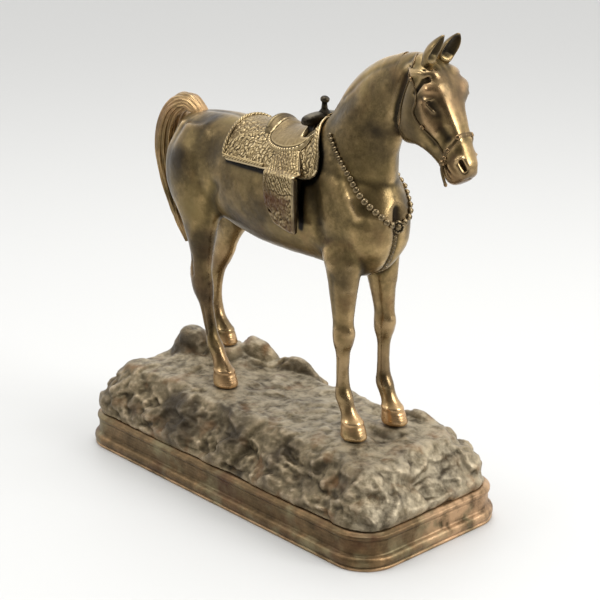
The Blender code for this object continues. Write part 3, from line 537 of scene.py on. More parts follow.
def bronze(name, stops, roughness, metallic=0.85, grain=0.25, grain_size=900, patches=(), relief_share=0.62,
           blotch=70, copper=(0.36, 0.20, 0.095)):
    """Worn bronze: its colour follows how far the surface stands out, broken up by blotches of patina."""
    made = bpy.data.materials.new(name)
    made.use_nodes = True
    tree = made.node_tree
    new, link = tree.nodes.new, tree.links.new
    shader = tree.nodes["Principled BSDF"]
    shader.inputs["Metallic"].default_value = metallic
    place = new("ShaderNodeTexCoord")
    stand = new("ShaderNodeAttribute")
    stand.attribute_name = "relief"
    coarse = new("ShaderNodeTexNoise")
    coarse.inputs["Scale"].default_value = blotch
    coarse.inputs["Detail"].default_value = 6
    coarse.inputs["Roughness"].default_value = 0.62
    fine = new("ShaderNodeTexNoise")
    fine.inputs["Scale"].default_value = grain_size
    fine.inputs["Detail"].default_value = 3
    for node in (coarse, fine):
        link(place.outputs["Object"], node.inputs["Vector"])
    blend = new("ShaderNodeMix")
    blend.inputs["Factor"].default_value = 1 - relief_share
    link(stand.outputs["Fac"], blend.inputs["A"])
    link(coarse.outputs["Fac"], blend.inputs["B"])
    speck = new("ShaderNodeMath")
    speck.operation = "MULTIPLY_ADD"
    speck.inputs[1].default_value = 0.16
    link(fine.outputs["Fac"], speck.inputs[0])
    link(blend.outputs["Result"], speck.inputs[2])
    colours = ramp(tree, [(place + 0.08, colour) for place, colour in stops])
    link(speck.outputs["Value"], colours.inputs["Fac"])
    colour = colours.outputs["Color"]
    for tint, scale, low, high in patches:
        cloud = new("ShaderNodeTexNoise")
        cloud.inputs["Scale"].default_value = scale
        cloud.inputs["Detail"].default_value = 5
        link(place.outputs["Object"], cloud.inputs["Vector"])
        spread = new("ShaderNodeMapRange")
        spread.inputs["From Min"].default_value = low
        spread.inputs["From Max"].default_value = high
        link(cloud.outputs["Fac"], spread.inputs["Value"])
        mix = new("ShaderNodeMix")
        mix.data_type = "RGBA"
        mix.inputs["B"].default_value = (*tint, 1)
        link(spread.outputs["Result"], mix.inputs["Factor"])
        link(colour, mix.inputs["A"])
        colour = mix.outputs["Result"]
    # The copper layer is wear on the horse. On the rock, plinth and fork it also paints light on upward faces
    # and lit ends, and on the fenders it adds painted shade at their front edges.
    worn = new("ShaderNodeAttribute")
    worn.attribute_name = "copper"
    share = new("ShaderNodeMath")
    share.operation = "MULTIPLY"
    share.use_clamp = True
    link(worn.outputs["Fac"], share.inputs[0])
    patchy = new("ShaderNodeMapRange")
    patchy.inputs["From Min"].default_value = 0.36
    patchy.inputs["From Max"].default_value = 0.6
    patchy.inputs["To Max"].default_value = 1.1
    link(coarse.outputs["Fac"], patchy.inputs["Value"])
    link(patchy.outputs["Result"], share.inputs[1])
    reddened = new("ShaderNodeMix")
    reddened.data_type = "RGBA"
    reddened.inputs["B"].default_value = (*copper, 1)
    link(share.outputs["Value"], reddened.inputs["Factor"])
    link(colour, reddened.inputs["A"])
    # Painted shade: the shadow layer mixes the colour towards black in gaps, hollows and grooves. It also
    # darkens some broad areas.
    painted_shade_and_tone = new("ShaderNodeAttribute")
    painted_shade_and_tone.attribute_name = "shadow"
    darkened = new("ShaderNodeMix")
    darkened.data_type = "RGBA"
    darkened.inputs["B"].default_value = (0.004, 0.003, 0.002, 1)
    link(painted_shade_and_tone.outputs["Fac"], darkened.inputs["Factor"])
    link(reddened.outputs["Result"], darkened.inputs["A"])
    link(darkened.outputs["Result"], shader.inputs["Base Color"])
    gloss = new("ShaderNodeMapRange")
    gloss.inputs["From Min"].default_value = 0.3
    gloss.inputs["From Max"].default_value = 0.75
    gloss.inputs["To Min"].default_value = min(roughness + 0.14, 1)
    gloss.inputs["To Max"].default_value = roughness - 0.08
    link(blend.outputs["Result"], gloss.inputs["Value"])
    link(gloss.outputs["Result"], shader.inputs["Roughness"])
    bump = new("ShaderNodeBump")
    bump.inputs["Strength"].default_value = grain
    bump.inputs["Distance"].default_value = 0.0004
    pitted = new("ShaderNodeMath")
    pitted.operation = "ADD"
    link(fine.outputs["Fac"], pitted.inputs[0])
    link(coarse.outputs["Fac"], pitted.inputs[1])
    link(pitted.outputs["Value"], bump.inputs["Height"])
    link(bump.outputs["Normal"], shader.inputs["Normal"])
    return made


HORSE = bronze("horse_bronze", [
    (0.14, (0.014, 0.010, 0.005)), (0.34, (0.062, 0.043, 0.018)), (0.5, (0.165, 0.117, 0.048)),
    (0.66, (0.36, 0.25, 0.112)), (0.86, (0.62, 0.44, 0.23)),
], 0.33, metallic=0.88, patches=[((0.25, 0.182, 0.072), 31, 0.50, 0.76),
    ((0.15, 0.075, 0.032), 37, 0.55, 0.80), ((0.040, 0.029, 0.016), 26, 0.45, 0.71)], grain=0.16, blotch=48,
    copper=(0.60, 0.37, 0.185))
# Its copper tint is a dark brown. It darkens the low part of the fenders, and it adds painted shade on their
# front edges.
SADDLE_FINISH = bronze("saddle_bronze", [
    (0.13, (0.02, 0.014, 0.006)), (0.34, (0.10, 0.07, 0.03)), (0.52, (0.25, 0.18, 0.085)),
    (0.70, (0.42, 0.32, 0.165)), (0.9, (0.66, 0.52, 0.31)),
], 0.40, relief_share=0.72, grain=0.2, blotch=55, patches=[((0.10, 0.066, 0.03), 34, 0.52, 0.72)],
    copper=(0.10, 0.046, 0.023))
# Its copper tint, a grey, paints light on the fork's upward-facing faces.
DARK_FINISH = bronze("pommel_bronze", [
    (0.2, (0.002, 0.0015, 0.001)), (0.45, (0.007, 0.0055, 0.0035)), (0.65, (0.026, 0.021, 0.014)),
    (0.9, (0.12, 0.10, 0.07)),
], 0.48, metallic=0.95, grain=0.2, copper=(0.15, 0.13, 0.092))
TACK = bronze("tack_bronze", [
    (0.15, (0.006, 0.005, 0.003)), (0.42, (0.03, 0.022, 0.011)), (0.64, (0.125, 0.09, 0.045)),
    (0.9, (0.34, 0.26, 0.15)),
], 0.38, relief_share=0.8, grain=0.15)
BRIDLE = bronze("bridle_bronze", [
    (0.15, (0.008, 0.006, 0.003)), (0.38, (0.04, 0.028, 0.013)), (0.6, (0.11, 0.075, 0.034)),
    (0.88, (0.34, 0.22, 0.11)),
], 0.34, relief_share=0.8, grain=0.15)
# Its copper tint is pale. It paints light on the rock's upward faces and on its right end.
ROCK = bronze("rock_bronze", [
    (0.14, (0.020, 0.014, 0.008)), (0.34, (0.075, 0.055, 0.027)), (0.50, (0.150, 0.115, 0.062)),
    (0.64, (0.26, 0.20, 0.118)), (0.86, (0.56, 0.45, 0.31)),
], 0.46, metallic=0.6, grain=1.0, grain_size=1100, blotch=130, relief_share=0.42,
    patches=[((0.17, 0.095, 0.040), 74, 0.54, 0.70), ((0.045, 0.032, 0.016), 34, 0.46, 0.66)],
    copper=(0.43, 0.365, 0.25))
# Its copper tint colours the worn raised edges, and it also paints light on the end at +X.
PLINTH = bronze("plinth_bronze", [
    (0.16, (0.016, 0.011, 0.006)), (0.36, (0.070, 0.046, 0.021)), (0.52, (0.15, 0.098, 0.046)),
    (0.68, (0.29, 0.18, 0.085)), (0.9, (0.56, 0.36, 0.2)),
], 0.42, grain=0.45, grain_size=700, relief_share=0.45, blotch=85,
    patches=[((0.24, 0.20, 0.11), 58, 0.50, 0.68), ((0.085, 0.042, 0.021), 44, 0.50, 0.74)],
    copper=(0.50, 0.32, 0.18))


# ---------------------------------------------------------------- build
# Painted shadow: where the saddle stands off the body, the gap is painted almost black, and so is the back
# under the saddle.
SADDLE_SHADOW = [
    ([(-23, 0, 219.6), (-8, 0, 218.6), (10, 0, 218), (22, 0, 217.6)], 1.5),
    ([(45, 0, 247), (51, 0, 245), (56, 0, 240.5), (59, 0, 236), (59.5, 0, 229), (57.5, 0, 222),
    (53, 0, 218), (48, 0, 216)], 1.5),
    ([(47.5, 0, 216), (47, 0, 204), (46.5, 0, 193), (45, 0, 188)], 1.7),
]


def saddle_shadow(points):
    flat = points * (1, 0, 1)
    value = np.zeros(len(points))
    for path, radius in SADDLE_SHADOW:
        value = np.maximum(value, stroke_weight(flat, np.array(path) * (1, 0, 1), radius))
    # painted shade: the back under the saddle is painted black
    under = (flat[:, 0] > -24) & (flat[:, 0] < 44) & (flat[:, 2] > 220)
    return np.clip(np.maximum(value ** 0.6 * 1.5, under * 1.0), 0, 1)


def build_horse():
    skin = horse_skin(body_tables(), 0.62)
    sculpt(skin, MUSCLES)
    skin.relax(4)
    sculpt(skin, LEG_DETAIL)
    hooves_and_grain(skin)
    skin.store()
    skin.relief(26, "relief")
    skin.layer("copper", leg_copper(skin.points))
    skin.layer("shadow", np.maximum(saddle_shadow(skin.points), body_shade(skin.points)))
    mesh = skin.mesh
    upper = [shifted(facing(((0, 0, LEG_JOINT), (0, 0, 1))), -SEAM)]
    piece_of(cut(mesh, upper + [shifted(NECK_JOINT, -SEAM)]), "body_skin", STATUE, HORSE,
        ["body_casting"])
    planes = upper + [shifted(facing(NECK_JOINT), -SEAM), shifted(HEAD_JOINT, -SEAM)]
    piece_of(cut(mesh, planes), "neck_skin", STATUE, HORSE, ["neck_casting"])
    for leg, (x, y, ground) in HOOVES.items():
        ahead = (0, 0, 0), (-1 if x > 0 else 1, 0, 0)
        beside = (0, 0, 0), (0, -1 if y > 0 else 1, 0)
        low = (0, 0, ground + 0.1), (0, 0, -1)
        planes = [shifted(((0, 0, LEG_JOINT), (0, 0, 1)), -SEAM), ahead, beside, low]
        piece_of(cut(mesh, planes), f"{leg}_skin", STATUE, HORSE, [leg])
    head = horse_skin(head_tables(), 0.34)
    sculpt(head, [stroke for stroke in MUSCLES if stroke[0][0][0] > 60])
    sculpt(head, FACE)
    head.relax(3)
    sculpt(head, FACE_DETAIL)
    lean = brow_lean(head.points)
    head.points[:, 1] += lean
    head.points[:, 0] += 0.3 * lean
    head.store()
    head.relief(40, "relief")
    head.layer("copper", face_copper(head.points))
    # Painted shade in the face's hollows; the head beyond x 96 to 112 is also made somewhat darker overall.
    head.layer("shadow", np.maximum(face_shadow(head.points), 0.22 * smoothstep(96, 112, head.points[:, 0])))
    planes = [shifted(facing(HEAD_JOINT), -SEAM), ((0, 0, 200), (0, 0, -1))]
    piece_of(cut(head.mesh, planes), "head_skin", STATUE, HORSE, ["head_casting"])
    return skin, head


def hooves_and_grain(skin):
    """Coronet bands, and the faint unevenness of a sand casting."""
    amount = 0.10 * noise(skin.points, 6.0, 3) + 0.05 * noise(skin.points, 2.2, 5)
    for x, y, ground in HOOVES.values():
        near = np.hypot(skin.points[:, 0] - x, skin.points[:, 1] - y) < 16
        rise = skin.points[:, 2] - ground
        band = np.exp(-((rise - 11.3) / 1.3) ** 2) * 0.35 - np.exp(-((rise - 9.4) / 1.0) ** 2) * 0.15
        rings = 0.02 * np.sin(rise * 3.4) * (rise < 9) * (rise > 0.5)
        amount += near * (band + rings)
    skin.push(amount)


def leg_copper(points):
    """Where handling has worn the legs to copper: the hooves, and less so the knees, hocks and fetlocks."""
    value = 0.22 * (1 - smoothstep(110, 165, points[:, 2]))
    for x, y, ground in HOOVES.values():
        near = np.hypot(points[:, 0] - x, points[:, 1] - y) < 17
        value = np.maximum(value, 0.95 * near * (1 - smoothstep(ground + 9, ground + 15, points[:, 2])))
    for x, z in ((78, 124), (-71, 134), (-93, 141), (88, 74), (-42, 80)):
        value = np.maximum(value, 0.5 * np.exp(-((points[:, 0] - x) ** 2 + (points[:, 2] - z) ** 2) / 60))
    return value


def brow_lean(points):
    """How far the left brow stands out beyond the right one, in mm."""
    return 4.6 * stroke_weight(points, head_path((13, 3, 12), (19, -1, 13), (25, -1, 13)), 6.5)


def face_copper(points):
    """The front of the face, the brows and the nose are worn bright."""
    s = 0.5 * (points[:, 0] - 127) - 0.866 * (points[:, 2] - 301)
    t = -(0.866 * (points[:, 0] - 127) + 0.5 * (points[:, 2] - 301))
    front = 0.22 * (1 - smoothstep(-2.5, 2.5, t)) * smoothstep(6, 16, s)
    nose = 0.42 * smoothstep(50, 62, s) * (1 - smoothstep(10, 18, t))
    brow = stroke_weight(np.abs(points), head_path((19.5, 0, 12.5), (23, -4, 10)), 3.6)
    crest = 0.9 * stroke_weight(np.abs(points), head_path((26, 7, 13), (35, 9.4, 12), (42, 8.6, 10)), 2.6)
    return np.clip(np.maximum(np.maximum(front, nose), np.maximum(brow, crest)), 0, 1) * (points[:, 0] > 100)


def face_shadow(points):
    """Painted shade in the eyes, nostrils, mouth and the grooves round them; the cheek and the side of the
    muzzle are made a little darker too.
    """
    folded = np.abs(points)
    value = 0.62 * stroke_weight(folded, EYE, 2.6)
    for path, radius, share in (
        (head_path((63.8, 2.0, 6.4), (66.2, 1.6, 6.6), (68.8, 1.6, 6.0)), 1.6, 1.0),
        (head_path((61, 13.0, 7.2), (65.5, 12, 6.8), (69.4, 9.6, 5.6), (72.6, 5.8, 0)), 0.9, 0.8),
        (head_path((18, 9.5, 12.5), (15.9, 5.5, 12.5), (14.2, 2, 12)), 1.3, 0.8),
        (head_path((34, 1.0, 11), (41.5, 4.2, 10), (48, 3.6, 8)), 4.2, 0.30),
        ([(119, 11, 292), (113, 12, 276), (109, 10, 262)], 2.6, 0.6),
        (head_path((20, 16, 12), (34, 18, 11)), 9.0, 0.16),
        (head_path((54, 12, 7), (70, 8, 6)), 5.0, 0.25),
    ):
        value = np.maximum(value, share * stroke_weight(folded, path, radius))
    return value * (points[:, 0] > 100)


def body_shade(points):
    """Painted shade in the chest and flank grooves, and broad darker areas on the neck, shoulder, lower
    barrel, haunch and lower legs.
    """
    folded = folded_over(points)
    value = 0.36 * (1 - smoothstep(120, 160, points[:, 2])) * smoothstep(72, 82, points[:, 2])
    for path, radius, share in (
        ([(74, 14, 262), (98, 14, 250)], 13.0, 0.30), ([(68, 22, 214), (66, 24, 190)], 9.0, 0.18),
        ([(-10, 20, 172), (30, 20, 170)], 9.0, 0.22), ([(-84, 20, 190), (-78, 20, 165)], 9.0, 0.25),
        ([(-62, 22, 182), (-62, 20, 150)], 11.0, 0.36),
        ([(101, 0, 205), (98, 0, 182), (88, 0, 166)], 2.6, 0.5), ([(-38, 26, 196), (-46, 22, 178)], 4.0, 0.3),
    ):
        value = np.maximum(value, share * stroke_weight(folded, path, radius))
    return value


def tree_of(*skins):
    points, faces, start = [], [], 0
    for skin in skins:
        points += (skin.points * MM).tolist()
        faces += [tuple(i + start for i in p.vertices) for p in skin.mesh.polygons]
        start += len(skin.points)
    return BVHTree.FromPolygons(points, faces)


def snapped(tree, point, away):
    """The point of a skin nearest to a rough point, moved off it, and the way out there."""
    spot, normal, _, _ = tree.find_nearest(Vector(point) * MM)
    normal = np.array(normal)
    return np.array(spot) / MM + normal * away, normal


def snapped_path(tree, points, count, away):
    spots, ways = [], []
    for rough in smooth_path(points, count):
        spot, way = snapped(tree, rough, away)
        spots.append(spot)
        ways.append(way)
    spots, ways = np.array(spots), np.array(ways)
    for _ in range(3):
        spots[1:-1] = (spots[:-2] + 2 * spots[1:-1] + spots[2:]) / 4
        ways[1:-1] = (ways[:-2] + 2 * ways[1:-1] + ways[2:]) / 4
    return spots, ways / np.linalg.norm(ways, axis=1)[:, None]


def strap(spots, ways, width, thick, count=14):
    """A flat strap along a path, its section a rounded rectangle that lies on the skin."""
    rings = []
    for k, (spot, way) in enumerate(zip(spots, ways)):
        ahead = spots[min(k + 1, len(spots) - 1)] - spots[max(k - 1, 0)]
        side = np.cross(ahead / (np.linalg.norm(ahead) + 1e-9), way)
        side /= np.linalg.norm(side) + 1e-9
        ring = []
        for j in range(count):
            c, s = math.cos(2 * math.pi * j / count), math.sin(2 * math.pi * j / count)
            fill = (abs(c) ** 4 + abs(s) ** 4) ** (-1 / 4)
            ring.append(spot + side * c * fill * width / 2 + way * s * fill * thick / 2)
        rings.append(ring)
    return loft(rings)


def turned(profile, spot, way, count=20, waves=0, depth=0.0):
    """A solid of revolution about an axis, with petals if waves is set."""
    turn = np.array(Vector(way).to_track_quat("Z", "Y").to_matrix())
    rings = []
    for radius, height in profile:
        ring = []
        for k in range(count):
            a = 2 * math.pi * k / count
            r = radius * (1 + depth * math.cos(waves * a))
            ring.append(np.array(spot) + turn @ np.array((r * math.cos(a), r * math.sin(a), height)))
        rings.append(ring)
    return loft(rings)


BEAD = [(0.05, -1), (0.7, -0.8), (1.0, -0.2), (1.0, 0.25), (0.75, 0.75), (0.3, 0.97), (0.05, 1)]


def bead(spot, way, radius, height):
    return turned([(r * radius, z * height) for r, z in BEAD], spot, way, 12)


def finished(parts, name, body, finish, replaces=(), relief=6):
    skin = Skin(joined(parts, name))
    skin.relief(relief, "relief")
    return piece_of(skin.mesh, name, body, finish, replaces)


COLLAR = [
    (61, 17.5, 248.5), (66, 18, 243), (71, 18.5, 237), (78.5, 20, 229.3), (84.6, 20, 222.5), (90, 17.5, 214),
    (95.5, 13.5, 207), (100, 8, 199.7), (102, 3.5, 196),
]
DROP = [(103, 0, 190), (100.5, 0, 182), (95, 0, 174), (88, 0, 166)]


def build_collar(tree):
    for name, side in (("right", -1), ("left", 1)):
        rough = [(x, side * y, z) for x, y, z in COLLAR]
        spots, ways = snapped_path(tree, rough, 120, 0.25)
        parts = [strap(spots, ways, 1.5, 0.6)]
        lengths = np.concatenate([[0], np.cumsum(np.linalg.norm(np.diff(spots, axis=0), axis=1))])
        place, total = 1.2, lengths[-1]
        while place < total - 1.5:
            share = place / total
            radius = 1.5 + 0.6 * smoothstep(0.1, 0.7, share)
            spot = np.array([np.interp(place, lengths, spots[:, k]) for k in range(3)])
            way = np.array([np.interp(place, lengths, ways[:, k]) for k in range(3)])
            parts.append(bead(spot + way * 0.75, way, radius, 1.25))
            if radius > 1.5:
                parts.append(bead(spot + way * 1.8, way, radius * 0.45, 0.5))
            place += radius * 2.15
        finished(parts, f"collar_{name}", STATUE, TACK, [f"breast_collar_{name}"])
    spots, ways = snapped_path(tree, DROP, 50, 0.3)
    parts = [strap(spots, ways, 2.6, 0.9)]
    for k in range(4, 50, 5):
        parts.append(bead(spots[k] + ways[k] * 0.5, ways[k], 0.9, 0.7))
    finished(parts, "drop_strap", STATUE, TACK, ["breast_drop_strap"])
    spot, way = snapped(tree, (104.5, 0, 195), 0.3)
    disc = [(0.05, -0.8), (4.0, -0.7), (4.1, 0.2), (3.7, 0.65), (3.0, 0.7), (2.7, 0.35), (2.2, 0.4),
        (1.6, 1.0), (0.05, 1.35)]
    parts = [turned(disc, spot, way, 48, waves=8, depth=0.06)]
    turn = np.array(Vector(way).to_track_quat("Z", "Y").to_matrix())
    for k in range(12):
        a = 2 * math.pi * k / 12
        rim = spot + turn @ np.array((3.3 * math.cos(a), 3.3 * math.sin(a), 0.75))
        parts.append(bead(rim, way, 0.45, 0.35))
    finished(parts, "concho", STATUE, TACK, ["chest_concho"])


def build_bridle(tree):
    straps = [
        ([(119, 4, 302), (122.5, 9, 294), (121, 10.5, 287), (118.5, 11, 280), (117.8, 11, 272),
        (117, 10, 264), (112, 2, 253)], 1.3),
        ([(124, 10.5, 289), (129.2, 11.5, 277.4), (127.6, 11.5, 270), (131.9, 11, 263.4),
        (137.3, 9.5, 257.8), (145, 8, 249),
          (147, 8, 243.5)], 1.4),
        (head_path((50.5, -9, 0), (50.2, -6.1, 6), (52.5, 0.5, 9), (55.6, 8.1, 8.4), (58, 13.5, 5),
        (59, 15.5, 0)), 2.6),
        (head_path((59, 11.6, 7.4), (61.6, 15.0, 5.6), (62.5, 17, 0)), 1.2),
    ]
    for side, word in ((-1, "right"), (1, "left")):
        parts = []
        for rough, width in straps:
            path = [(x, side * y, z) for x, y, z in rough]
            spots, ways = snapped_path(tree, path, 60, 0.2)
            parts.append(strap(spots, ways, width, 0.9))
        for s, t, y in ((9.5, 9.5, 12), (36.4, 13.9, 12), (50.2, -4.6, 8), (54.6, 6, 8.6), (57.4, 10.5, 8)):
            x, across, z = head_point(s, t, y)
            spot, way = snapped(tree, (x, side * across, z), 0.5)
            parts.append(bead(spot, way, 1.5, 0.8))
        shank = [(145, 8.6, 242.8), (145.4, 9.1, 239), (146.8, 9.2, 235), (148.2, 8.6, 230.8)]
        spots = smooth_path([(x, side * y, z) for x, y, z in shank], 24)
        ways = np.tile((0.0, float(side), 0.0), (24, 1))
        parts.append(strap(spots, ways, 2.0, 1.0))
        parts.append(bead(spots[0], ways[0], 1.9, 0.8))
        parts.append(bead(spots[-1], ways[-1], 1.3, 0.8))
        finished(parts, f"bridle_{word}", STATUE, BRIDLE, [f"bit_shank_{word}"])


def build_ears():
    """Leaf-shaped ears, hollow on the side that faces forward and out."""
    for word, side in (("right", -1), ("left", 1)):
        rings, inside = [], []
        count = 40
        for k in range(41):
            t = k / 40
            half = 5.7 * math.sin(math.pi * (0.20 + 0.775 * t ** 1.25)) ** 0.8
            middle = np.array((129.4 + 12.0 * t, side * (6.2 + 1.0 * t - 0.9 * t * t), 295.6 + 18.4 * t))
            open_way = np.array((0.93, -side * 0.20, -0.35 + 0.2 * t))
            open_way /= np.linalg.norm(open_way)
            wide = np.cross(open_way, (0.5, 0, 0.85))
            wide /= np.linalg.norm(wide)
            ring = []
            scoop = smoothstep(0.16, 0.36, t) * (1 - smoothstep(0.88, 1.0, t))
            for j in range(count):
                c, s = math.cos(2 * math.pi * j / count), math.sin(2 * math.pi * j / count)
                deep = c * 0.95
                if c > 0:
                    deep = c * 0.70 - scoop * math.cos(s * math.pi / 2) ** 0.9 * 1.05
                ring.append(middle + open_way * deep * half + wide * s * half)
                # Painted shade: the hollow of each ear is painted dark, near-black deep in the scoop, and the
                # rest of the ear a little darker.
                inside.append(max(0.30, (0.92 - 0.35 * t) * scoop * float(smoothstep(0.1, 0.5, c))))
            rings.append(ring)
        skin = Skin(joined([loft(rings)], f"ear_{word}"))
        skin.layer("shadow", np.array(inside))
        skin.relax(3)
        skin.relief(10, "relief")
        piece_of(skin.mesh, f"ear_skin_{word}", STATUE, HORSE, [f"ear_{word}"])


def build_tail():
    """The tail, arched off the rump, its hair in long waving locks."""
    rows = []
    for i, (x, z, thick, wide) in enumerate(TAIL):
        before, after = TAIL[max(i - 1, 0)], TAIL[min(i + 1, len(TAIL) - 1)]
        along = Vector((after[0] - before[0], after[1] - before[1])).normalized()
        out = Vector((-along.y, along.x)) * thick
        rows.append((x - out.x, z - out.y, x + out.x, z + out.y, 0, wide))
    rings, count = [], 220
    steps = (len(rows) - 1) * 22
    for step in range(steps + 1):
        t = step / steps
        fx, fz, rx, rz, y, half = smooth_row(rows, step / 22)
        middle = np.array(((fx + rx) / 2, y, (fz + rz) / 2))
        reach = np.array(((fx - rx) / 2, 0, (fz - rz) / 2))
        a = 2 * np.pi * np.arange(count) / count
        sway = 0.5 * math.sin(7 * t + 0.6) + 0.35 * math.sin(15 * t)
        locks = 0.045 * np.cos(7 * a + 3.2 * sway) + 0.030 * np.cos(16 * a - 4.5 * sway
            + 1.3) + 0.014 * np.cos(41 * a + 6 * sway)
        size = 1 + locks * smoothstep(0.0, 0.16, t)
        ring = middle + (np.cos(a) * size)[:, None] * reach + (np.sin(a) * size * half)[:,
            None] * np.array((0, 1, 0))
        rings.append(ring)
    skin = Skin(joined([loft(rings)], "tail"))
    skin.relief(14, "relief")
    skin.layer("copper", 0.2 + 0.4 * np.exp(-((skin.points[:, 2] - 240) / 9) ** 2))
    piece_of(skin.mesh, "tail_skin", STATUE, HORSE, ["tail_casting"])


# ---------------------------------------------------------------- saddle
SADDLE_GAP, SKIRT_WALL, SKIRT_HEM, BACK_HALF_WIDTH = 1.6, 2.2, 220.5, 28.5
SKIRT_REAR_EDGE = [(0.0, -31), (0.4, -29), (0.8, -27.5), (0.93, -26), (1.0, -21)]
SKIRT_FRONT_EDGE = [(0.0, 45.5), (0.2, 48.5), (0.4, 54), (0.6, 58.3), (0.8, 58.8), (0.89, 56.6), (0.95, 53),
    (1.0, 48)]
HEM_ANGLE = math.atan2(BACK_HALF_WIDTH, SKIRT_HEM - 205.0)


def table_at(pairs, value):
    return float(np.interp(value, [p[0] for p in pairs], [p[1] for p in pairs]))


class Back:
    """The smooth surface of the horse's back that the saddle is laid over."""

    def __init__(self, tree):
        self.xs = np.linspace(-40, 66, 54)
        self.turns = np.linspace(-1.06, 1.06, 61)
        self.far = np.zeros((len(self.xs), len(self.turns)))
        for i, x in enumerate(self.xs):
            for j, turn in enumerate(self.turns):
                ray = Vector((0, math.sin(turn * HEM_ANGLE), math.cos(turn * HEM_ANGLE)))
                start = Vector((x, 0, 205)) * MM + ray * 0.06
                spot, _, _, _ = tree.ray_cast(start, -ray)
                self.far[i, j] = (spot / MM - Vector((x, 0, 205))).length
        for _ in range(6):
            f = self.far
            f[1:-1] = (f[:-2] + 2 * f[1:-1] + f[2:]) / 4
            f[:, 1:-1] = (f[:, :-2] + 2 * f[:, 1:-1] + f[:, 2:]) / 4

    def at(self, x, turn, off):
        x, turn, off = np.broadcast_arrays(np.asarray(x, float), turn, off)
        i = np.clip((x - self.xs[0]) / (self.xs[1] - self.xs[0]), 0, len(self.xs) - 1.001)
        j = np.clip((turn - self.turns[0]) / (self.turns[1] - self.turns[0]), 0, len(self.turns) - 1.001)
        a, b, u, v = i.astype(int), j.astype(int), i % 1, j % 1
        f = self.far
        far = (f[a, b] * (1 - u) + f[a + 1, b] * u) * (1 - v) + (f[a, b + 1] * (1 - u) + f[a + 1,
            b + 1] * u) * v
        far = far + off
        angle = turn * HEM_ANGLE
        return np.stack([x, far * np.sin(angle), 205 + far * np.cos(angle)], -1)


def sheet(lower, upper):
    """Points and faces of a closed slab between two grids of points."""
    rows, columns = lower.shape[:2]
    points = np.concatenate([lower.reshape(-1, 3), upper.reshape(-1, 3)])
    top = rows * columns
    faces = []
    for i in range(rows - 1):
        for j in range(columns - 1):
            a, b, c, d = i * columns + j, i * columns + j + 1, (i + 1) * columns + j + 1, (i
                + 1) * columns + j
            faces.append((a, b, c, d))
            faces.append((a + top, d + top, c + top, b + top))
    rim = [i * columns for i in range(rows)] + [(rows - 1) * columns + j for j in range(1, columns)]
    rim += [i * columns + columns - 1 for i in range(rows - 2, -1, -1)] + list(range(columns - 2, 0, -1))
    for a, b in zip(rim, rim[1:] + rim[:1]):
        faces.append((a, b, b + top, a + top))
    return points, faces


def tooling(u, v, border, seed=0):
    """Height of the tooled pattern at places u, v in mm: small scrolls and flowers inside a border."""
    flat = np.stack([u.ravel(), v.ravel(), np.zeros(u.size)], 1)
    warp = flat.copy()
    warp[:, 0] += 1.3 * noise(flat, 3.4, seed + 1)
    warp[:, 1] += 1.3 * noise(flat, 3.4, seed + 2)
    first, second = cells(warp * (1, 1, 0), 3.1, seed + 3)
    leaf = smoothstep(0.02, 0.34, second - first)
    rings = 0.5 + 0.5 * np.cos(first * 19)
    flower = 1 - smoothstep(0.10, 0.24, first)
    stipple = noise(flat, 0.75, seed + 4)
    height = 0.21 * leaf + 0.08 * rings * leaf + 0.20 * flower + 0.09 * stipple + 0.15 * noise(flat, 2.0,
        seed + 5)
    edge = border.ravel()
    inside = smoothstep(2.3, 2.9, edge)
    lip = 0.34 * smoothstep(0.0, 0.35, edge) * (1 - smoothstep(0.8, 1.2, edge))
    return (height * inside + lip).reshape(u.shape)


def cord(path, ways, pitch, radius):
    """A cord of three twisted strands along a path that lies on a surface."""
    lengths = np.concatenate([[0], np.cumsum(np.linalg.norm(np.diff(path, axis=0), axis=1))])
    places = np.arange(0, lengths[-1], pitch / 7)
    spots = np.stack([np.interp(places, lengths, path[:, k]) for k in range(3)], 1)
    ups = np.stack([np.interp(places, lengths, ways[:, k]) for k in range(3)], 1)
    a = 2 * np.pi * np.arange(24) / 24
    rings = []
    for place, spot, up, ahead in zip(places, spots, ups, np.gradient(spots, axis=0)):
        across = np.cross(ahead, up)
        across /= np.linalg.norm(across)
        size = radius * (1 + 0.20 * np.cos(3 * a - 2 * np.pi * place / pitch))
        rings.append(spot + (np.cos(a) * size)[:, None] * across + 0.8 * (np.sin(a) * size)[:, None] * up)
    return loft(rings)


def skirt_grid(back, ts, turns, off, rear_edge=SKIRT_REAR_EDGE, front_edge=SKIRT_FRONT_EDGE):
    rear = np.array([table_at(rear_edge, min(abs(t), 1.0)) for t in turns])
    front = np.array([table_at(front_edge, min(abs(t), 1.0)) for t in turns])
    x = rear[None, :] + (front - rear)[None, :] * np.asarray(ts)[:, None]
    return back.at(x, np.asarray(turns)[None, :], off), x, rear, front


HEM_RADIUS = 31.0  # from the middle of the barrel to the skirts' hem


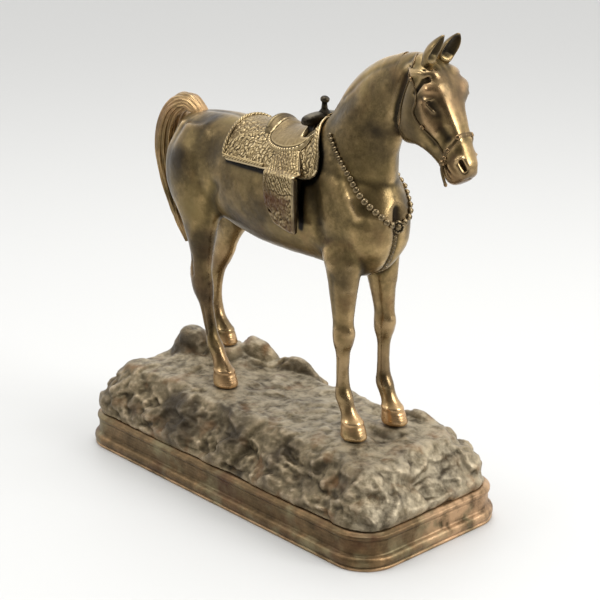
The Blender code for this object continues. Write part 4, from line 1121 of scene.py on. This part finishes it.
def build_skirts(back):
    ts, turns = np.linspace(0, 1, 206), np.linspace(-1, 1, 235)
    _, x, rear, front = skirt_grid(back, ts, turns, 0)
    arc = np.abs(turns) * HEM_ANGLE * HEM_RADIUS
    from_ends = np.minimum(x - rear[None, :], front[None, :] - x)
    from_hem = ((1 - np.abs(turns)) * HEM_ANGLE * HEM_RADIUS)[None, :] + 0 * x
    border = np.minimum(from_ends, from_hem)
    height = tooling(x, (arc * np.sign(turns))[None, :] + 0 * x, border, 5)
    fade = smoothstep(4, 9, arc)[None, :]
    height = height * (0.35 + 0.65 * fade)
    soften = 0.7 * (1 - smoothstep(0, 1.1, border))
    lower = back.at(x, turns[None, :], SADDLE_GAP + 0 * x)
    upper = back.at(x, turns[None, :], SADDLE_GAP + SKIRT_WALL - soften + height)
    parts = [sheet(lower, upper)]
    skin = Skin(joined(parts, "skirts"))
    skin.relief(9, "relief")
    piece_of(skin.mesh, "saddle_skirts_tooled", SADDLE, SADDLE_FINISH, ["saddle_skirts"])
    parts = []
    for side in (-1, 1):
        outline = [(0.03, t) for t in np.linspace(0.0, 0.94, 60)]
        outline += [(s, 0.95) for s in np.linspace(0.04, 0.50, 60)]
        spots = []
        for s, t in outline:
            rear_x, front_x = table_at(SKIRT_REAR_EDGE, t), table_at(SKIRT_FRONT_EDGE, t)
            spots.append(back.at(rear_x + (front_x - rear_x) * s, side * t, SADDLE_GAP + SKIRT_WALL + 0.15))
        spots = np.array(spots)
        ways = spots - np.stack([spots[:, 0], 0 * spots[:, 0], 205 + 0 * spots[:, 0]], 1)
        ways /= np.linalg.norm(ways, axis=1)[:, None]
        parts.append(cord(spots + 0.25 * ways, ways, 2.6, 1.15))
        spots = np.array([
            back.at(table_at(SKIRT_FRONT_EDGE, t) - 1.9, side * t, SADDLE_GAP + SKIRT_WALL + 0.15)
            for t in np.linspace(0.3, 0.95, 50)
        ])
        ways = spots - np.stack([spots[:, 0], 0 * spots[:, 0], 205 + 0 * spots[:, 0]], 1)
        ways /= np.linalg.norm(ways, axis=1)[:, None]
        parts.append(cord(spots + 0.25 * ways, ways, 2.6, 1.15))
    finished(parts, "skirt_cords", SADDLE, SADDLE_FINISH)


OVER = SADDLE_GAP + SKIRT_WALL + 0.5


SEAT_EDGE = [(5.5, 0.36), (8, 0.50), (12, 0.60), (18, 0.655), (26, 0.68), (34, 0.65), (40, 0.585),
    (45, 0.47), (47, 0.36)]


def build_seat(back):
    """The smooth seat and its jockeys, whose curved lower edge is a twisted cord."""
    xs, shares = np.linspace(5.5, 47, 130), np.linspace(-1, 1, 221)
    reach = smooth_reach(xs)
    turns = reach[:, None] * shares[None, :]
    x = xs[:, None] + 0 * turns
    from_edge = (reach[:, None] - np.abs(turns)) * HEM_ANGLE * 34
    from_edge = np.minimum(from_edge, np.minimum(x - 5.0, 47.6 - x) * 1.2 + 0.2)
    middle = 1 - smoothstep(0.0, 0.42, np.abs(turns))
    rear, ahead = 1 - smoothstep(6, 17, x), smoothstep(24, 37, x)
    thick = 1.5 + middle * (0.5 + 3.6 * rear ** 1.5 + 2.8 * ahead) + 0.5 * smoothstep(2, 9, from_edge)
    thick = thick - 1.1 * (1 - smoothstep(0, 1.1, from_edge))
    cord = np.exp(-((from_edge - 1.5) / 0.75) ** 2)
    along = x + 0.55 * np.abs(turns) * 34
    thick = thick + cord * (0.30 + 0.34 * np.cos((along + from_edge * 1.0) * 3.0))
    thick = thick - 0.45 * np.exp(-((from_edge - 3.0) / 0.4) ** 2)
    flat = np.stack([x.ravel(), (turns * 34).ravel(), 0 * x.ravel()], 1)
    thick = thick + 0.05 * noise(flat, 1.8, 9).reshape(x.shape)
    under_fork = (1 - smoothstep(0.30, 0.42, np.abs(turns))) * smoothstep(35.5, 38.5, x)
    thick = np.maximum(thick * (1 - under_fork) - 1.2 * under_fork, -1.0)
    low = back.at(x, turns, np.minimum(OVER - 0.4, OVER + thick - 0.3))
    finished([sheet(low, back.at(x, turns, OVER + thick))], "seat", SADDLE, SADDLE_FINISH,
        ["saddle_seat"], relief=12)


def smooth_reach(xs):
    """Half the seat's width at each x, as a share of the hem's angle."""
    reach = np.interp(xs, [p[0] for p in SEAT_EDGE], [p[1] for p in SEAT_EDGE])
    for _ in range(40):
        reach[1:-1] = (reach[:-2] + 2 * reach[1:-1] + reach[2:]) / 4
    return reach


def build_cantle(back):
    """The upright cantle: a thick rounded lobe, dished towards the seat, with a rolled rim."""
    count = 61
    turns = np.linspace(-0.36, 0.36, count)
    share = np.sqrt(np.clip(1 - (turns / 0.364) ** 2, 0, 1))
    low, up = [], []
    for x, lift, lean in ((-0.6, 0.50, -1.6), (0.4, 0.96, -2.0), (1.8, 1.0, -1.8), (3.4, 0.97, -1.2),
            (5.0, 0.72, -0.4), (7.5, 0.44, 0.6), (10.5, 0.22, 0.8)):
        feet = back.at(np.full(count, x), turns, OVER - 0.3)
        step = np.stack([lean * share, feet[:, 1] * 0.05 * share, 0.5 + 6.6 * share * lift], 1)
        low.append(feet)
        up.append(feet + step)
    up = np.array(up)
    parts = [sheet(np.array(low), up)]
    rim = smooth_path([tuple(p) for p in up[2, 3:-3:6]], 80)
    rings = []
    a = 2 * np.pi * np.arange(12) / 12
    for spot, ahead in zip(rim, np.gradient(rim, axis=0)):
        out = np.cross((1.0, 0, 0), ahead / np.linalg.norm(ahead))
        out /= np.linalg.norm(out)
        rings.append(spot + np.cos(a)[:, None] * out * 0.8 + np.sin(a)[:, None] * np.array((1.5, 0, 0)))
    parts.append(loft(rings))
    settings = ("REMESH", {"mode": "VOXEL", "voxel_size": 0.35 * MM}), ("SMOOTH",
        {"factor": 0.5, "iterations": 5})
    skin = Skin(baked(joined(parts, "cantle"), *settings))
    skin.relief(20, "relief")
    # Darker overall, with painted shade on the rear face.
    skin.layer("shadow", 0.5 + 0.25 * (1 - smoothstep(-1.5, 1.5, skin.points[:, 0])))
    piece_of(skin.mesh, "cantle", SADDLE, SADDLE_FINISH, ["saddle_cantle"])


def build_fork(back):
    """The fork: a narrow neck that carries a wide flat-topped swell, and the horn on it."""
    count = 51
    low, up = [], []
    turns = np.linspace(-0.27, 0.27, count)
    for ahead in (-3.4, 0.0, 3.6):
        feet = back.at(np.full(count, 38.5 + ahead), turns, OVER - 0.2)
        top = feet.copy()
        top[:, 1] *= 0.82
        top[:, 2] = 252.0
        low.append(feet)
        up.append(top)
    parts = [sheet(np.array(low), np.array(up))]
    rings = []
    for t in np.linspace(-1, 1, 49):
        full = (1 - abs(t) ** 3.5) ** 0.4 if abs(t) < 1 else 0.08
        middle = np.array((38.2 - 1.2 * t * t, 15.8 * t, 252.4 - 1.3 * t * t))
        ring = []
        for k in range(28):
            c, s = math.cos(2 * math.pi * k / 28), math.sin(2 * math.pi * k / 28)
            fill = (abs(c) ** 3 + abs(s) ** 3) ** (-1 / 3)
            high = 3.9 if s > 0 else 3.6
            ring.append(middle + np.array((5.4 * c * fill * full, 0, high * s * fill * full)))
        rings.append(ring)
    parts.append(loft(rings))
    stem = [(0.1, 255.0), (4.4, 255.2), (3.4, 256.6), (2.1, 258.2), (1.75, 260.6), (1.7, 262.0), (1.9, 263.2)]
    parts.append(turned(stem, (39.6, 0, 0), (0, 0, 1), 24))
    cap = [(0.1, -2.1), (1.7, -1.9), (2.75, -1.0), (3.0, 0.0), (2.75, 1.0), (1.7, 1.9), (0.1, 2.15)]
    parts.append(turned(cap, (40.0, 0, 263.9), (0.25, 0, 1), 28))
    settings = ("REMESH", {"mode": "VOXEL", "voxel_size": 0.36 * MM}), ("SMOOTH",
        {"factor": 0.5, "iterations": 5})
    skin = Skin(baked(joined(parts, "fork"), *settings))
    skin.push(0.06 * noise(skin.points, 1.5, 21))
    skin.relief(20, "relief")
    # Painted light: the upward-facing faces of the swell are made paler with the finish's grey tint.
    skin.layer("copper", 0.8 * smoothstep(0.78, 0.95, skin.normals()[:, 2]) * (skin.points[:, 2] < 257.6))
    piece_of(skin.mesh, "fork_and_horn", SADDLE, DARK_FINISH, ["saddle_fork", "saddle_horn"])


FENDER_REAR, FENDER_FRONT, FENDER_INNER, FENDER_OUTER = 23.0, 48.2, 30.6, 37.0
FENDER_FLARE = 2.4
STIRRUP_FOOT = [(23, 202.5), (26, 197), (31, 190.2), (38, 188), (45, 186.6), (49, 186.6)]


def build_fenders(back):
    """Each fender and its stirrup: one thick plate from under the seat's edge down over the skirt's hem."""
    for word, side in (("right", -1), ("left", 1)):
        xs = np.linspace(FENDER_REAR, FENDER_FRONT, 110)
        ts = (xs - FENDER_REAR) / (FENDER_FRONT - FENDER_REAR)
        foot = np.interp(xs, [p[0] for p in STIRRUP_FOOT], [p[1] for p in STIRRUP_FOOT])
        inner_knots, outer_knots = [], []
        for turn, thick in ((0.60, 0.5), (0.70, 1.3), (0.80, 2.2), (0.89, 3.2), (0.96, 4.0)):
            x = xs - 16.0 * ts * (1 - turn)
            inner_knots.append(back.at(x, side * turn, OVER - 0.2))
            outer_knots.append(back.at(x + FENDER_FLARE * ts * (turn - 0.6) * 2.5, side * turn, OVER + thick))
        for y_in, y_out, z in ((32.6, 36.2, 222.0), (FENDER_INNER, 36.7, 218.5),
                (FENDER_INNER, FENDER_OUTER, 213)):
            inner_knots.append(np.stack([xs, np.full_like(xs, side * y_in), np.full_like(xs, z)], -1))
            outer_knots.append(np.stack([xs + FENDER_FLARE * ts, np.full_like(xs, side * y_out),
                np.full_like(xs, z)], -1))
        for share in (0.25, 0.5, 0.75, 1.0):
            z = 213 + (foot - 213) * share
            out = FENDER_OUTER - 1.4 * share ** 2
            inner_knots.append(np.stack([xs, np.full_like(xs, side * FENDER_INNER), z], -1))
            outer_knots.append(np.stack([xs + FENDER_FLARE * ts, np.full_like(xs, side * out), z], -1))
        lower = smooth_knots(inner_knots, 14)
        upper = smooth_knots(outer_knots, 14)
        u = upper[:, :, 0]
        lengths = np.linalg.norm(np.diff(upper, axis=1), axis=2)
        v = np.concatenate([np.zeros((len(xs), 1)), np.cumsum(lengths, axis=1)], 1)
        total = v[:, -1:]
        border = np.minimum(np.minimum(u - u.min(0), u.max(0) - u), np.minimum(v + 3.0, total - v))
        drop = 222 - upper[:, :, 2]
        low_part = smoothstep(10.5, 13.0, drop)
        height = tooling(u, v, border + 1.3, 40) * (1 - 0.2 * low_part)
        place = np.stack([u.ravel(), v.ravel(), 0 * u.ravel()], 1)
        sway = noise(place, 4.5, 47).reshape(u.shape)
        feather = 0.13 * np.cos((u * 0.85 - v * 0.5) * 3.2 + 2.4 * sway) * smoothstep(1.5, 2.5,
            border) * (1 - low_part)
        ribs = 0.05 * np.cos((u * 0.52 + v * 0.85) * 2.1 + 3.0 * sway) * low_part * smoothstep(1.2, 2.4,
            border)
        lumps = 0.30 * noise(place, 1.9, 48).reshape(u.shape) * low_part * smoothstep(0.6, 2.0, border)
        seam = np.exp(-((drop - 11.5 - 0.9 * np.sin(u * 0.35)) / 0.45) ** 2)
        height = height + feather + ribs + lumps - 0.35 * seam
        a, b = u - 29.0, upper[:, :, 2] - 197.5
        height = height - 3.0 * np.exp(-((a * 0.7 - b * 0.7) / 1.7) ** 2 - ((a * 0.7 + b * 0.7) / 0.85) ** 2)
        way = upper - lower
        way[:, :, 0] = 0
        way /= np.linalg.norm(way, axis=2)[:, :, None]
        soften = 0.9 * (1 - smoothstep(0, 1.1, border))
        upper = upper + way * (height - soften)[:, :, None]
        skin = Skin(joined([sheet(lower, upper)], "fender"))
        skin.relief(9, "relief")
        # Painted shade: the forward-facing front edge of each fender is painted near-black, with the dark
        # tint as well, to stand for the shadowed gap there. Low down, the fender is also made darker.
        ahead = smoothstep(0.55, 0.85, skin.normals()[:, 0])
        low = 1 - smoothstep(206, 213, skin.points[:, 2])
        skin.layer("copper", np.maximum(0.85 * low, 0.8 * ahead))
        skin.layer("shadow", np.maximum(0.9 * ahead, 0.12 * (1 - smoothstep(196, 214, skin.points[:, 2]))))
        piece_of(skin.mesh, f"fender_tooled_{word}", SADDLE, SADDLE_FINISH,
            [f"fender_{word}", f"stirrup_{word}"])


def smooth_knots(knots, per_row):
    """A grid of points, smooth in its second direction, through a list of equal rows of knots."""
    flat = [knot.ravel() for knot in knots]
    steps = (len(flat) - 1) * per_row
    rows = []
    for k in range(steps + 1):
        place = k / per_row
        i = min(int(place), len(flat) - 2)
        u = place - i
        a, b, c, d = flat[max(i - 1, 0)], flat[i], flat[i + 1], flat[min(i + 2, len(flat) - 1)]
        rows.append(0.5 * (2 * b + (c - a) * u + (2 * a - 5 * b + 4 * c - d) * u * u
            + (3 * b - a - 3 * c + d) * u ** 3))
    return np.array(rows).reshape(steps + 1, -1, 3).transpose(1, 0, 2)


# ---------------------------------------------------------------- base
def rounded_rectangle(inset, spacing):
    """Points round the base's outline, evenly spaced, inset from the plinth's outer face."""
    radius = BASE_CORNER - inset
    across, deep = BASE_LENGTH / 2 - BASE_CORNER, BASE_WIDTH / 2 - BASE_CORNER
    path = []
    for cx, cy, start in ((across, -deep, -90), (across, deep, 0), (-across, deep, 90),
            (-across, -deep, 180)):
        for k in range(25):
            a = math.radians(start + 90 * k / 24)
            path.append((cx + radius * math.cos(a), cy + radius * math.sin(a)))
    path = np.array(path + path[:1])
    lengths = np.concatenate([[0], np.cumsum(np.linalg.norm(np.diff(path, axis=0), axis=1))])
    count = int(lengths[-1] / spacing)
    places = np.arange(count) * lengths[-1] / count
    return np.stack([np.interp(places, lengths, path[:, k]) for k in range(2)], 1)


def build_plinth():
    torus = [(1.9 - 1.9 * math.sin(a), 5.2 - 3.2 * math.cos(a)) for a in np.radians(np.linspace(15, 165, 16))]
    band = [(3.35 + 0.18 * (k % 2) - (0.2 if k in (0, 9) else 0), 9.0 + 0.95 * k) for k in range(10)]
    bead_rim = [(3.1 - 0.75 * math.sin(a),
        20.3 - 1.5 * math.cos(a)) for a in np.radians(np.linspace(10, 170, 10))]
    profile = [(0.9, 0.0), (0.55, 0.5), (0.45, 1.5), (0.9, 1.9)] + torus + band + [(3.6, 18.3)] + bead_rim + [
        (3.7, 22.1), (4.4, 22.9), (5.4, 23.4), (9.0, 23.4), (9.0, 0.0)]
    outline = rounded_rectangle(0, 1.1)
    fine = []
    for (i0, z0), (i1, z1) in zip(profile, profile[1:]):
        steps = max(1, int(math.hypot(i1 - i0, z1 - z0) / 0.6)) if i0 < 6 else 1
        fine += [(i0 + (i1 - i0) * k / steps, z0 + (z1 - z0) * k / steps) for k in range(steps)]
    fine.append(profile[-1])
    count = len(outline)
    across, deep = BASE_LENGTH / 2 - BASE_CORNER, BASE_WIDTH / 2 - BASE_CORNER
    core = np.stack([np.clip(outline[:, 0], -across, across), np.clip(outline[:, 1], -deep, deep)], 1)
    way = (outline - core) / BASE_CORNER
    rings = []
    for inset, z in fine:
        spot = outline - way * inset
        rings.append(np.concatenate([spot, np.full((count, 1), z)], 1))
    points = np.concatenate(rings)
    faces = []
    total = len(rings)
    for i in range(total):
        m = (i + 1) % total
        for k in range(count):
            n = (k + 1) % count
            faces.append((i * count + k, i * count + n, m * count + n, m * count + k))
    skin = Skin(outward(mesh_from(points, faces, "plinth")))
    outside = (skin.points[:, 2] > 1.0) & (skin.points[:, 2] < 23)
    skin.push(outside * (0.10 * noise(skin.points, 5, 61) + 0.07 * noise(skin.points, 1.8, 62)))
    height = skin.relief(10, "relief")
    worn = 0.9 * smoothstep(0.58, 0.85, height)
    # Painted light: the end at +X, which faces the key lamp, is made paler. The raised edges are worn bright.
    painted_lit_end = smoothstep(100, 118, skin.points[:, 0]) * smoothstep(-30, 10, skin.points[:, 1])
    skin.layer("copper", np.maximum(worn, 0.9 * painted_lit_end))
    piece_of(skin.mesh, "plinth", STATUE, PLINTH, ["plinth_moulding"])


def slabs(points, scale, seed):
    """Flat facets that meet in steps, as in broken rock: from about -1 to 1."""
    p = points / scale
    base = np.floor(p).astype(np.int64)
    best = np.full((2, len(p)), 9.0)
    value = np.zeros((2, len(p)))
    for dx in (-1, 0, 1):
        for dy in (-1, 0, 1):
            for dz in (-1, 0, 1):
                c = base + (dx, dy, dz)
                rolls = [lattice(c[:, 0], c[:, 1], c[:, 2], seed + 31 * k) for k in range(7)]
                to = p - c - np.stack(rolls[:3], 1)
                away = (to ** 2).sum(1)
                height = (rolls[3] - 0.5) + ((np.stack(rolls[4:], 1) - 0.5) * to).sum(1) * 2.2
                closer, closest = away < best[1], away < best[0]
                value[1] = np.where(closest, value[0], np.where(closer, height, value[1]))
                best[1] = np.where(closest, best[0], np.where(closer, away, best[1]))
                value[0] = np.where(closest, height, value[0])
                best[0] = np.where(closest, away, best[0])
    mix = 0.5 - 0.5 * smoothstep(0, 0.05, best[1] - best[0])
    return (value[0] * (1 - mix) + value[1] * mix) * 1.4


def rock_height(x, y):
    flat = np.stack([x, y, 0 * x], 1)
    height = PLATEAU + 4 * smoothstep(-20, -80, x) + 2.6 * noise(flat, 23, 71)
    for bx, by, top, rx, ry in BOULDERS:
        near = 1 - ((x - bx) / rx) ** 2 - ((y - by) / ry) ** 2
        lift = np.clip(1.12 * near, 0, 1) ** 0.72
        height = np.maximum(height, height + (top - height) * lift)
    return height


def build_rock():
    outline = rounded_rectangle(ROCK_INSET, 2.0)
    ridge = (BASE_LENGTH - BASE_WIDTH) / 2
    core = np.stack([np.clip(outline[:, 0], -ridge, ridge), 0 * outline[:, 0]], 1)
    shares = np.linspace(0, 0.999, 70)
    rows = [np.concatenate([outline, np.full((len(outline), 1), PLINTH_HEIGHT)], 1)]
    for t in shares:
        flat = outline + (core - outline) * t
        inside = np.linalg.norm(flat - outline, axis=1)
        rise = smoothstep(-7, 24, inside) ** 0.9
        z = PLINTH_HEIGHT + (rock_height(flat[:, 0], flat[:, 1]) - PLINTH_HEIGHT) * rise
        rows.append(np.concatenate([flat, z[:, None]], 1))
    mesh = joined([loft(rows)], "rock")
    skin = Skin(baked(
        mesh,
        ("REMESH", {"mode": "VOXEL", "voxel_size": 1.0 * MM}),
        ("SMOOTH", {"factor": 0.5, "iterations": 2}),
    ))
    start = skin.points.copy()
    edge = smoothstep(PLINTH_HEIGHT - 1, PLINTH_HEIGHT + 4, start[:, 2])
    calm = np.ones(len(start))
    for x, y, _ in HOOVES.values():
        calm = np.minimum(calm, smoothstep(7, 15, np.hypot(start[:, 0] - x, start[:, 1] - y)))
    side = 1 - smoothstep(45, 57, start[:, 2])
    warped = start + 2.0 * np.stack([noise(start, 24, s) for s in (81, 82, 83)], 1)
    broad = slabs(warped * (1, 1, 1.2), 25, 84)
    medium = slabs(warped * (1, 1, 1.5), 13.0, 87)
    small = slabs(warped * (1, 1, 1.5), 6.5, 89)
    rough = 0.30 + 0.70 * side
    foot = 1 - smoothstep(PLINTH_HEIGHT + 2, PLINTH_HEIGHT + 9, start[:, 2])
    amount = edge * calm * (rough * (3.6 * broad + 1.9 * medium) + (0.3 + 0.7 * side)
        * (0.42 - 0.2 * foot) * small)
    skin.push(np.minimum(amount, 3.2 - 2.6 * foot))
    skin.relax(5, 0.5)
    fine = 0.45 * rough_noise(skin.points, 3.2, 3, 95) + 0.30 * rough_noise(skin.points, 8.0, 2, 98,
        ridged=True)
    fine = fine * (1 - 0.55 * foot)
    skin.push(edge * (0.25 + 0.75 * calm) * (0.4 + 0.6 * side) * fine + 0.09 * noise(skin.points, 1.3, 97))
    p = skin.points
    p[:, 2] = np.maximum(p[:, 2], PLINTH_HEIGHT - 0.6)
    for x, y, ground in HOOVES.values():
        away = np.hypot(p[:, 0] - x, p[:, 1] - y)
        level = 1 - smoothstep(9, 17, away)
        p[:, 2] += (ground - 0.25 - p[:, 2]) * level * (p[:, 2] > 40)
    skin.points = p
    skin.relief(16, "relief")
    # Painted light: upward faces on the rock's top, and faces turned towards +X at its right end, are made
    # paler with the rock's pale tint.
    up = 0.6 * smoothstep(0.75, 0.97, skin.normals()[:, 2]) * smoothstep(44, 54, p[:, 2])
    up = np.maximum(up, 0.55 * smoothstep(84, 108, p[:, 0] + 0.35 * p[:, 1]) * smoothstep(0.0, 0.5,
        skin.normals()[:, 0]))
    skin.layer("copper", up)
    piece_of(skin.mesh, "rock", STATUE, ROCK, ["rock_mound"])


def finish_hidden():
    """Felt and steel under the base keep their CAD shapes and get proper finishes."""
    felt = bpy.data.materials.new("felt")
    felt.use_nodes = True
    tree = felt.node_tree
    shader = tree.nodes["Principled BSDF"]
    fluff = tree.nodes.new("ShaderNodeTexNoise")
    fluff.inputs["Scale"].default_value = 1400
    fluff.inputs["Detail"].default_value = 4
    colours = ramp(tree, [(0.3, (0.012, 0.035, 0.016)), (0.7, (0.03, 0.075, 0.035))])
    place = tree.nodes.new("ShaderNodeTexCoord")
    tree.links.new(place.outputs["Object"], fluff.inputs["Vector"])
    tree.links.new(fluff.outputs["Fac"], colours.inputs["Fac"])
    tree.links.new(colours.outputs["Color"], shader.inputs["Base Color"])
    shader.inputs["Roughness"].default_value = 0.95
    fuzz = tree.nodes.new("ShaderNodeBump")
    fuzz.inputs["Strength"].default_value = 0.6
    fuzz.inputs["Distance"].default_value = 0.0005
    tree.links.new(fluff.outputs["Fac"], fuzz.inputs["Height"])
    tree.links.new(fuzz.outputs["Normal"], shader.inputs["Normal"])
    steel = bronze("steel", [
        (0.2, (0.12, 0.12, 0.12)), (0.5, (0.34, 0.34, 0.34)), (0.8, (0.6, 0.6, 0.6)), (0.95, (0.7, 0.7, 0.7)),
    ], 0.36, metallic=1.0, grain=0.15)
    for name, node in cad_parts.items():
        if name == "felt_pad":
            node.material_slots[0].material = felt
        elif name.startswith(("stud_", "washer_")):
            node.material_slots[0].material = steel


DARK_SIDE = (0.62, -0.70, -0.35)  # the studio is dark behind the camera, as a room is


def stage_and_light():
    floor_mesh = bpy.data.meshes.new("floor")
    s = 6.0
    floor_mesh.from_pydata([(-s, -s, 0), (s, -s, 0), (s, s, 0), (-s, s, 0)], [], [(0, 1, 2, 3)])
    floor = bpy.data.objects.new("floor", floor_mesh)
    bpy.context.scene.collection.objects.link(floor)
    pale = bpy.data.materials.new("floor")
    pale.use_nodes = True
    pale.node_tree.nodes["Principled BSDF"].inputs["Base Color"].default_value = (0.56, 0.56, 0.55, 1)
    pale.node_tree.nodes["Principled BSDF"].inputs["Roughness"].default_value = 0.55
    floor_mesh.materials.append(pale)
    world = bpy.data.worlds.new("studio")
    bpy.context.scene.world = world
    world.use_nodes = True
    tree = world.node_tree
    place = tree.nodes.new("ShaderNodeTexCoord")
    side = tree.nodes.new("ShaderNodeVectorMath")
    side.operation = "DOT_PRODUCT"
    side.inputs[1].default_value = DARK_SIDE
    tree.links.new(place.outputs["Generated"], side.inputs[0])
    shade = ramp(tree, [(0.40, (1, 1, 1)), (0.60, (0.42, 0.41, 0.39)), (0.80, (0.09, 0.085, 0.075))])
    half = tree.nodes.new("ShaderNodeMath")
    half.operation = "MULTIPLY_ADD"
    half.inputs[1].default_value = 0.5
    half.inputs[2].default_value = 0.5
    tree.links.new(side.outputs["Value"], half.inputs[0])
    tree.links.new(half.outputs["Value"], shade.inputs["Fac"])
    tree.links.new(shade.outputs["Color"], tree.nodes["Background"].inputs["Color"])
    tree.nodes["Background"].inputs["Strength"].default_value = 1.3
    lamps = [
        ("key", (1.25, 0.45, 0.85), 0.7, 15.0), ("top", (-0.15, 0.0, 1.6), 0.9, 13.0),
        ("fill", (-0.6, -1.2, 0.9), 0.35, 3.0),
    ]
    for name, place, size, power in lamps:
        data = bpy.data.lights.new(name, "AREA")
        data.shape, data.size, data.energy = "SQUARE", size, power
        lamp = bpy.data.objects.new(name, data)
        lamp.location = place
        way = Vector(place) - Vector((0, 0, 0.16))
        lamp.rotation_euler = way.to_track_quat("Z", "Y").to_euler()
        bpy.context.scene.collection.objects.link(lamp)


def camera():
    azimuth, elevation, distance = math.radians(47.4736), math.radians(17.9553), 1.0055
    target = Vector((-0.0039, 0.0195, 0.12))
    back = Vector((math.sin(azimuth) * math.cos(elevation), -math.cos(azimuth) * math.cos(elevation),
        math.sin(elevation)))
    data = bpy.data.cameras.new("camera")
    data.lens, data.sensor_width = 90, 36
    item = bpy.data.objects.new("camera", data)
    item.location = target + back * distance
    item.rotation_euler = back.to_track_quat("Z", "Y").to_euler()
    bpy.context.scene.collection.objects.link(item)
    bpy.context.scene.camera = item


bpy.context.scene.view_settings.view_transform = "Standard"
camera()
stage_and_light()
skin, head = build_horse()
tree = tree_of(skin)
face_tree = tree_of(head)
build_ears()
build_tail()
build_collar(tree)
build_bridle(face_tree)
back = Back(tree)
build_skirts(back)
build_seat(back)
build_cantle(back)
build_fork(back)
build_fenders(back)
build_plinth()
build_rock()
finish_hidden()
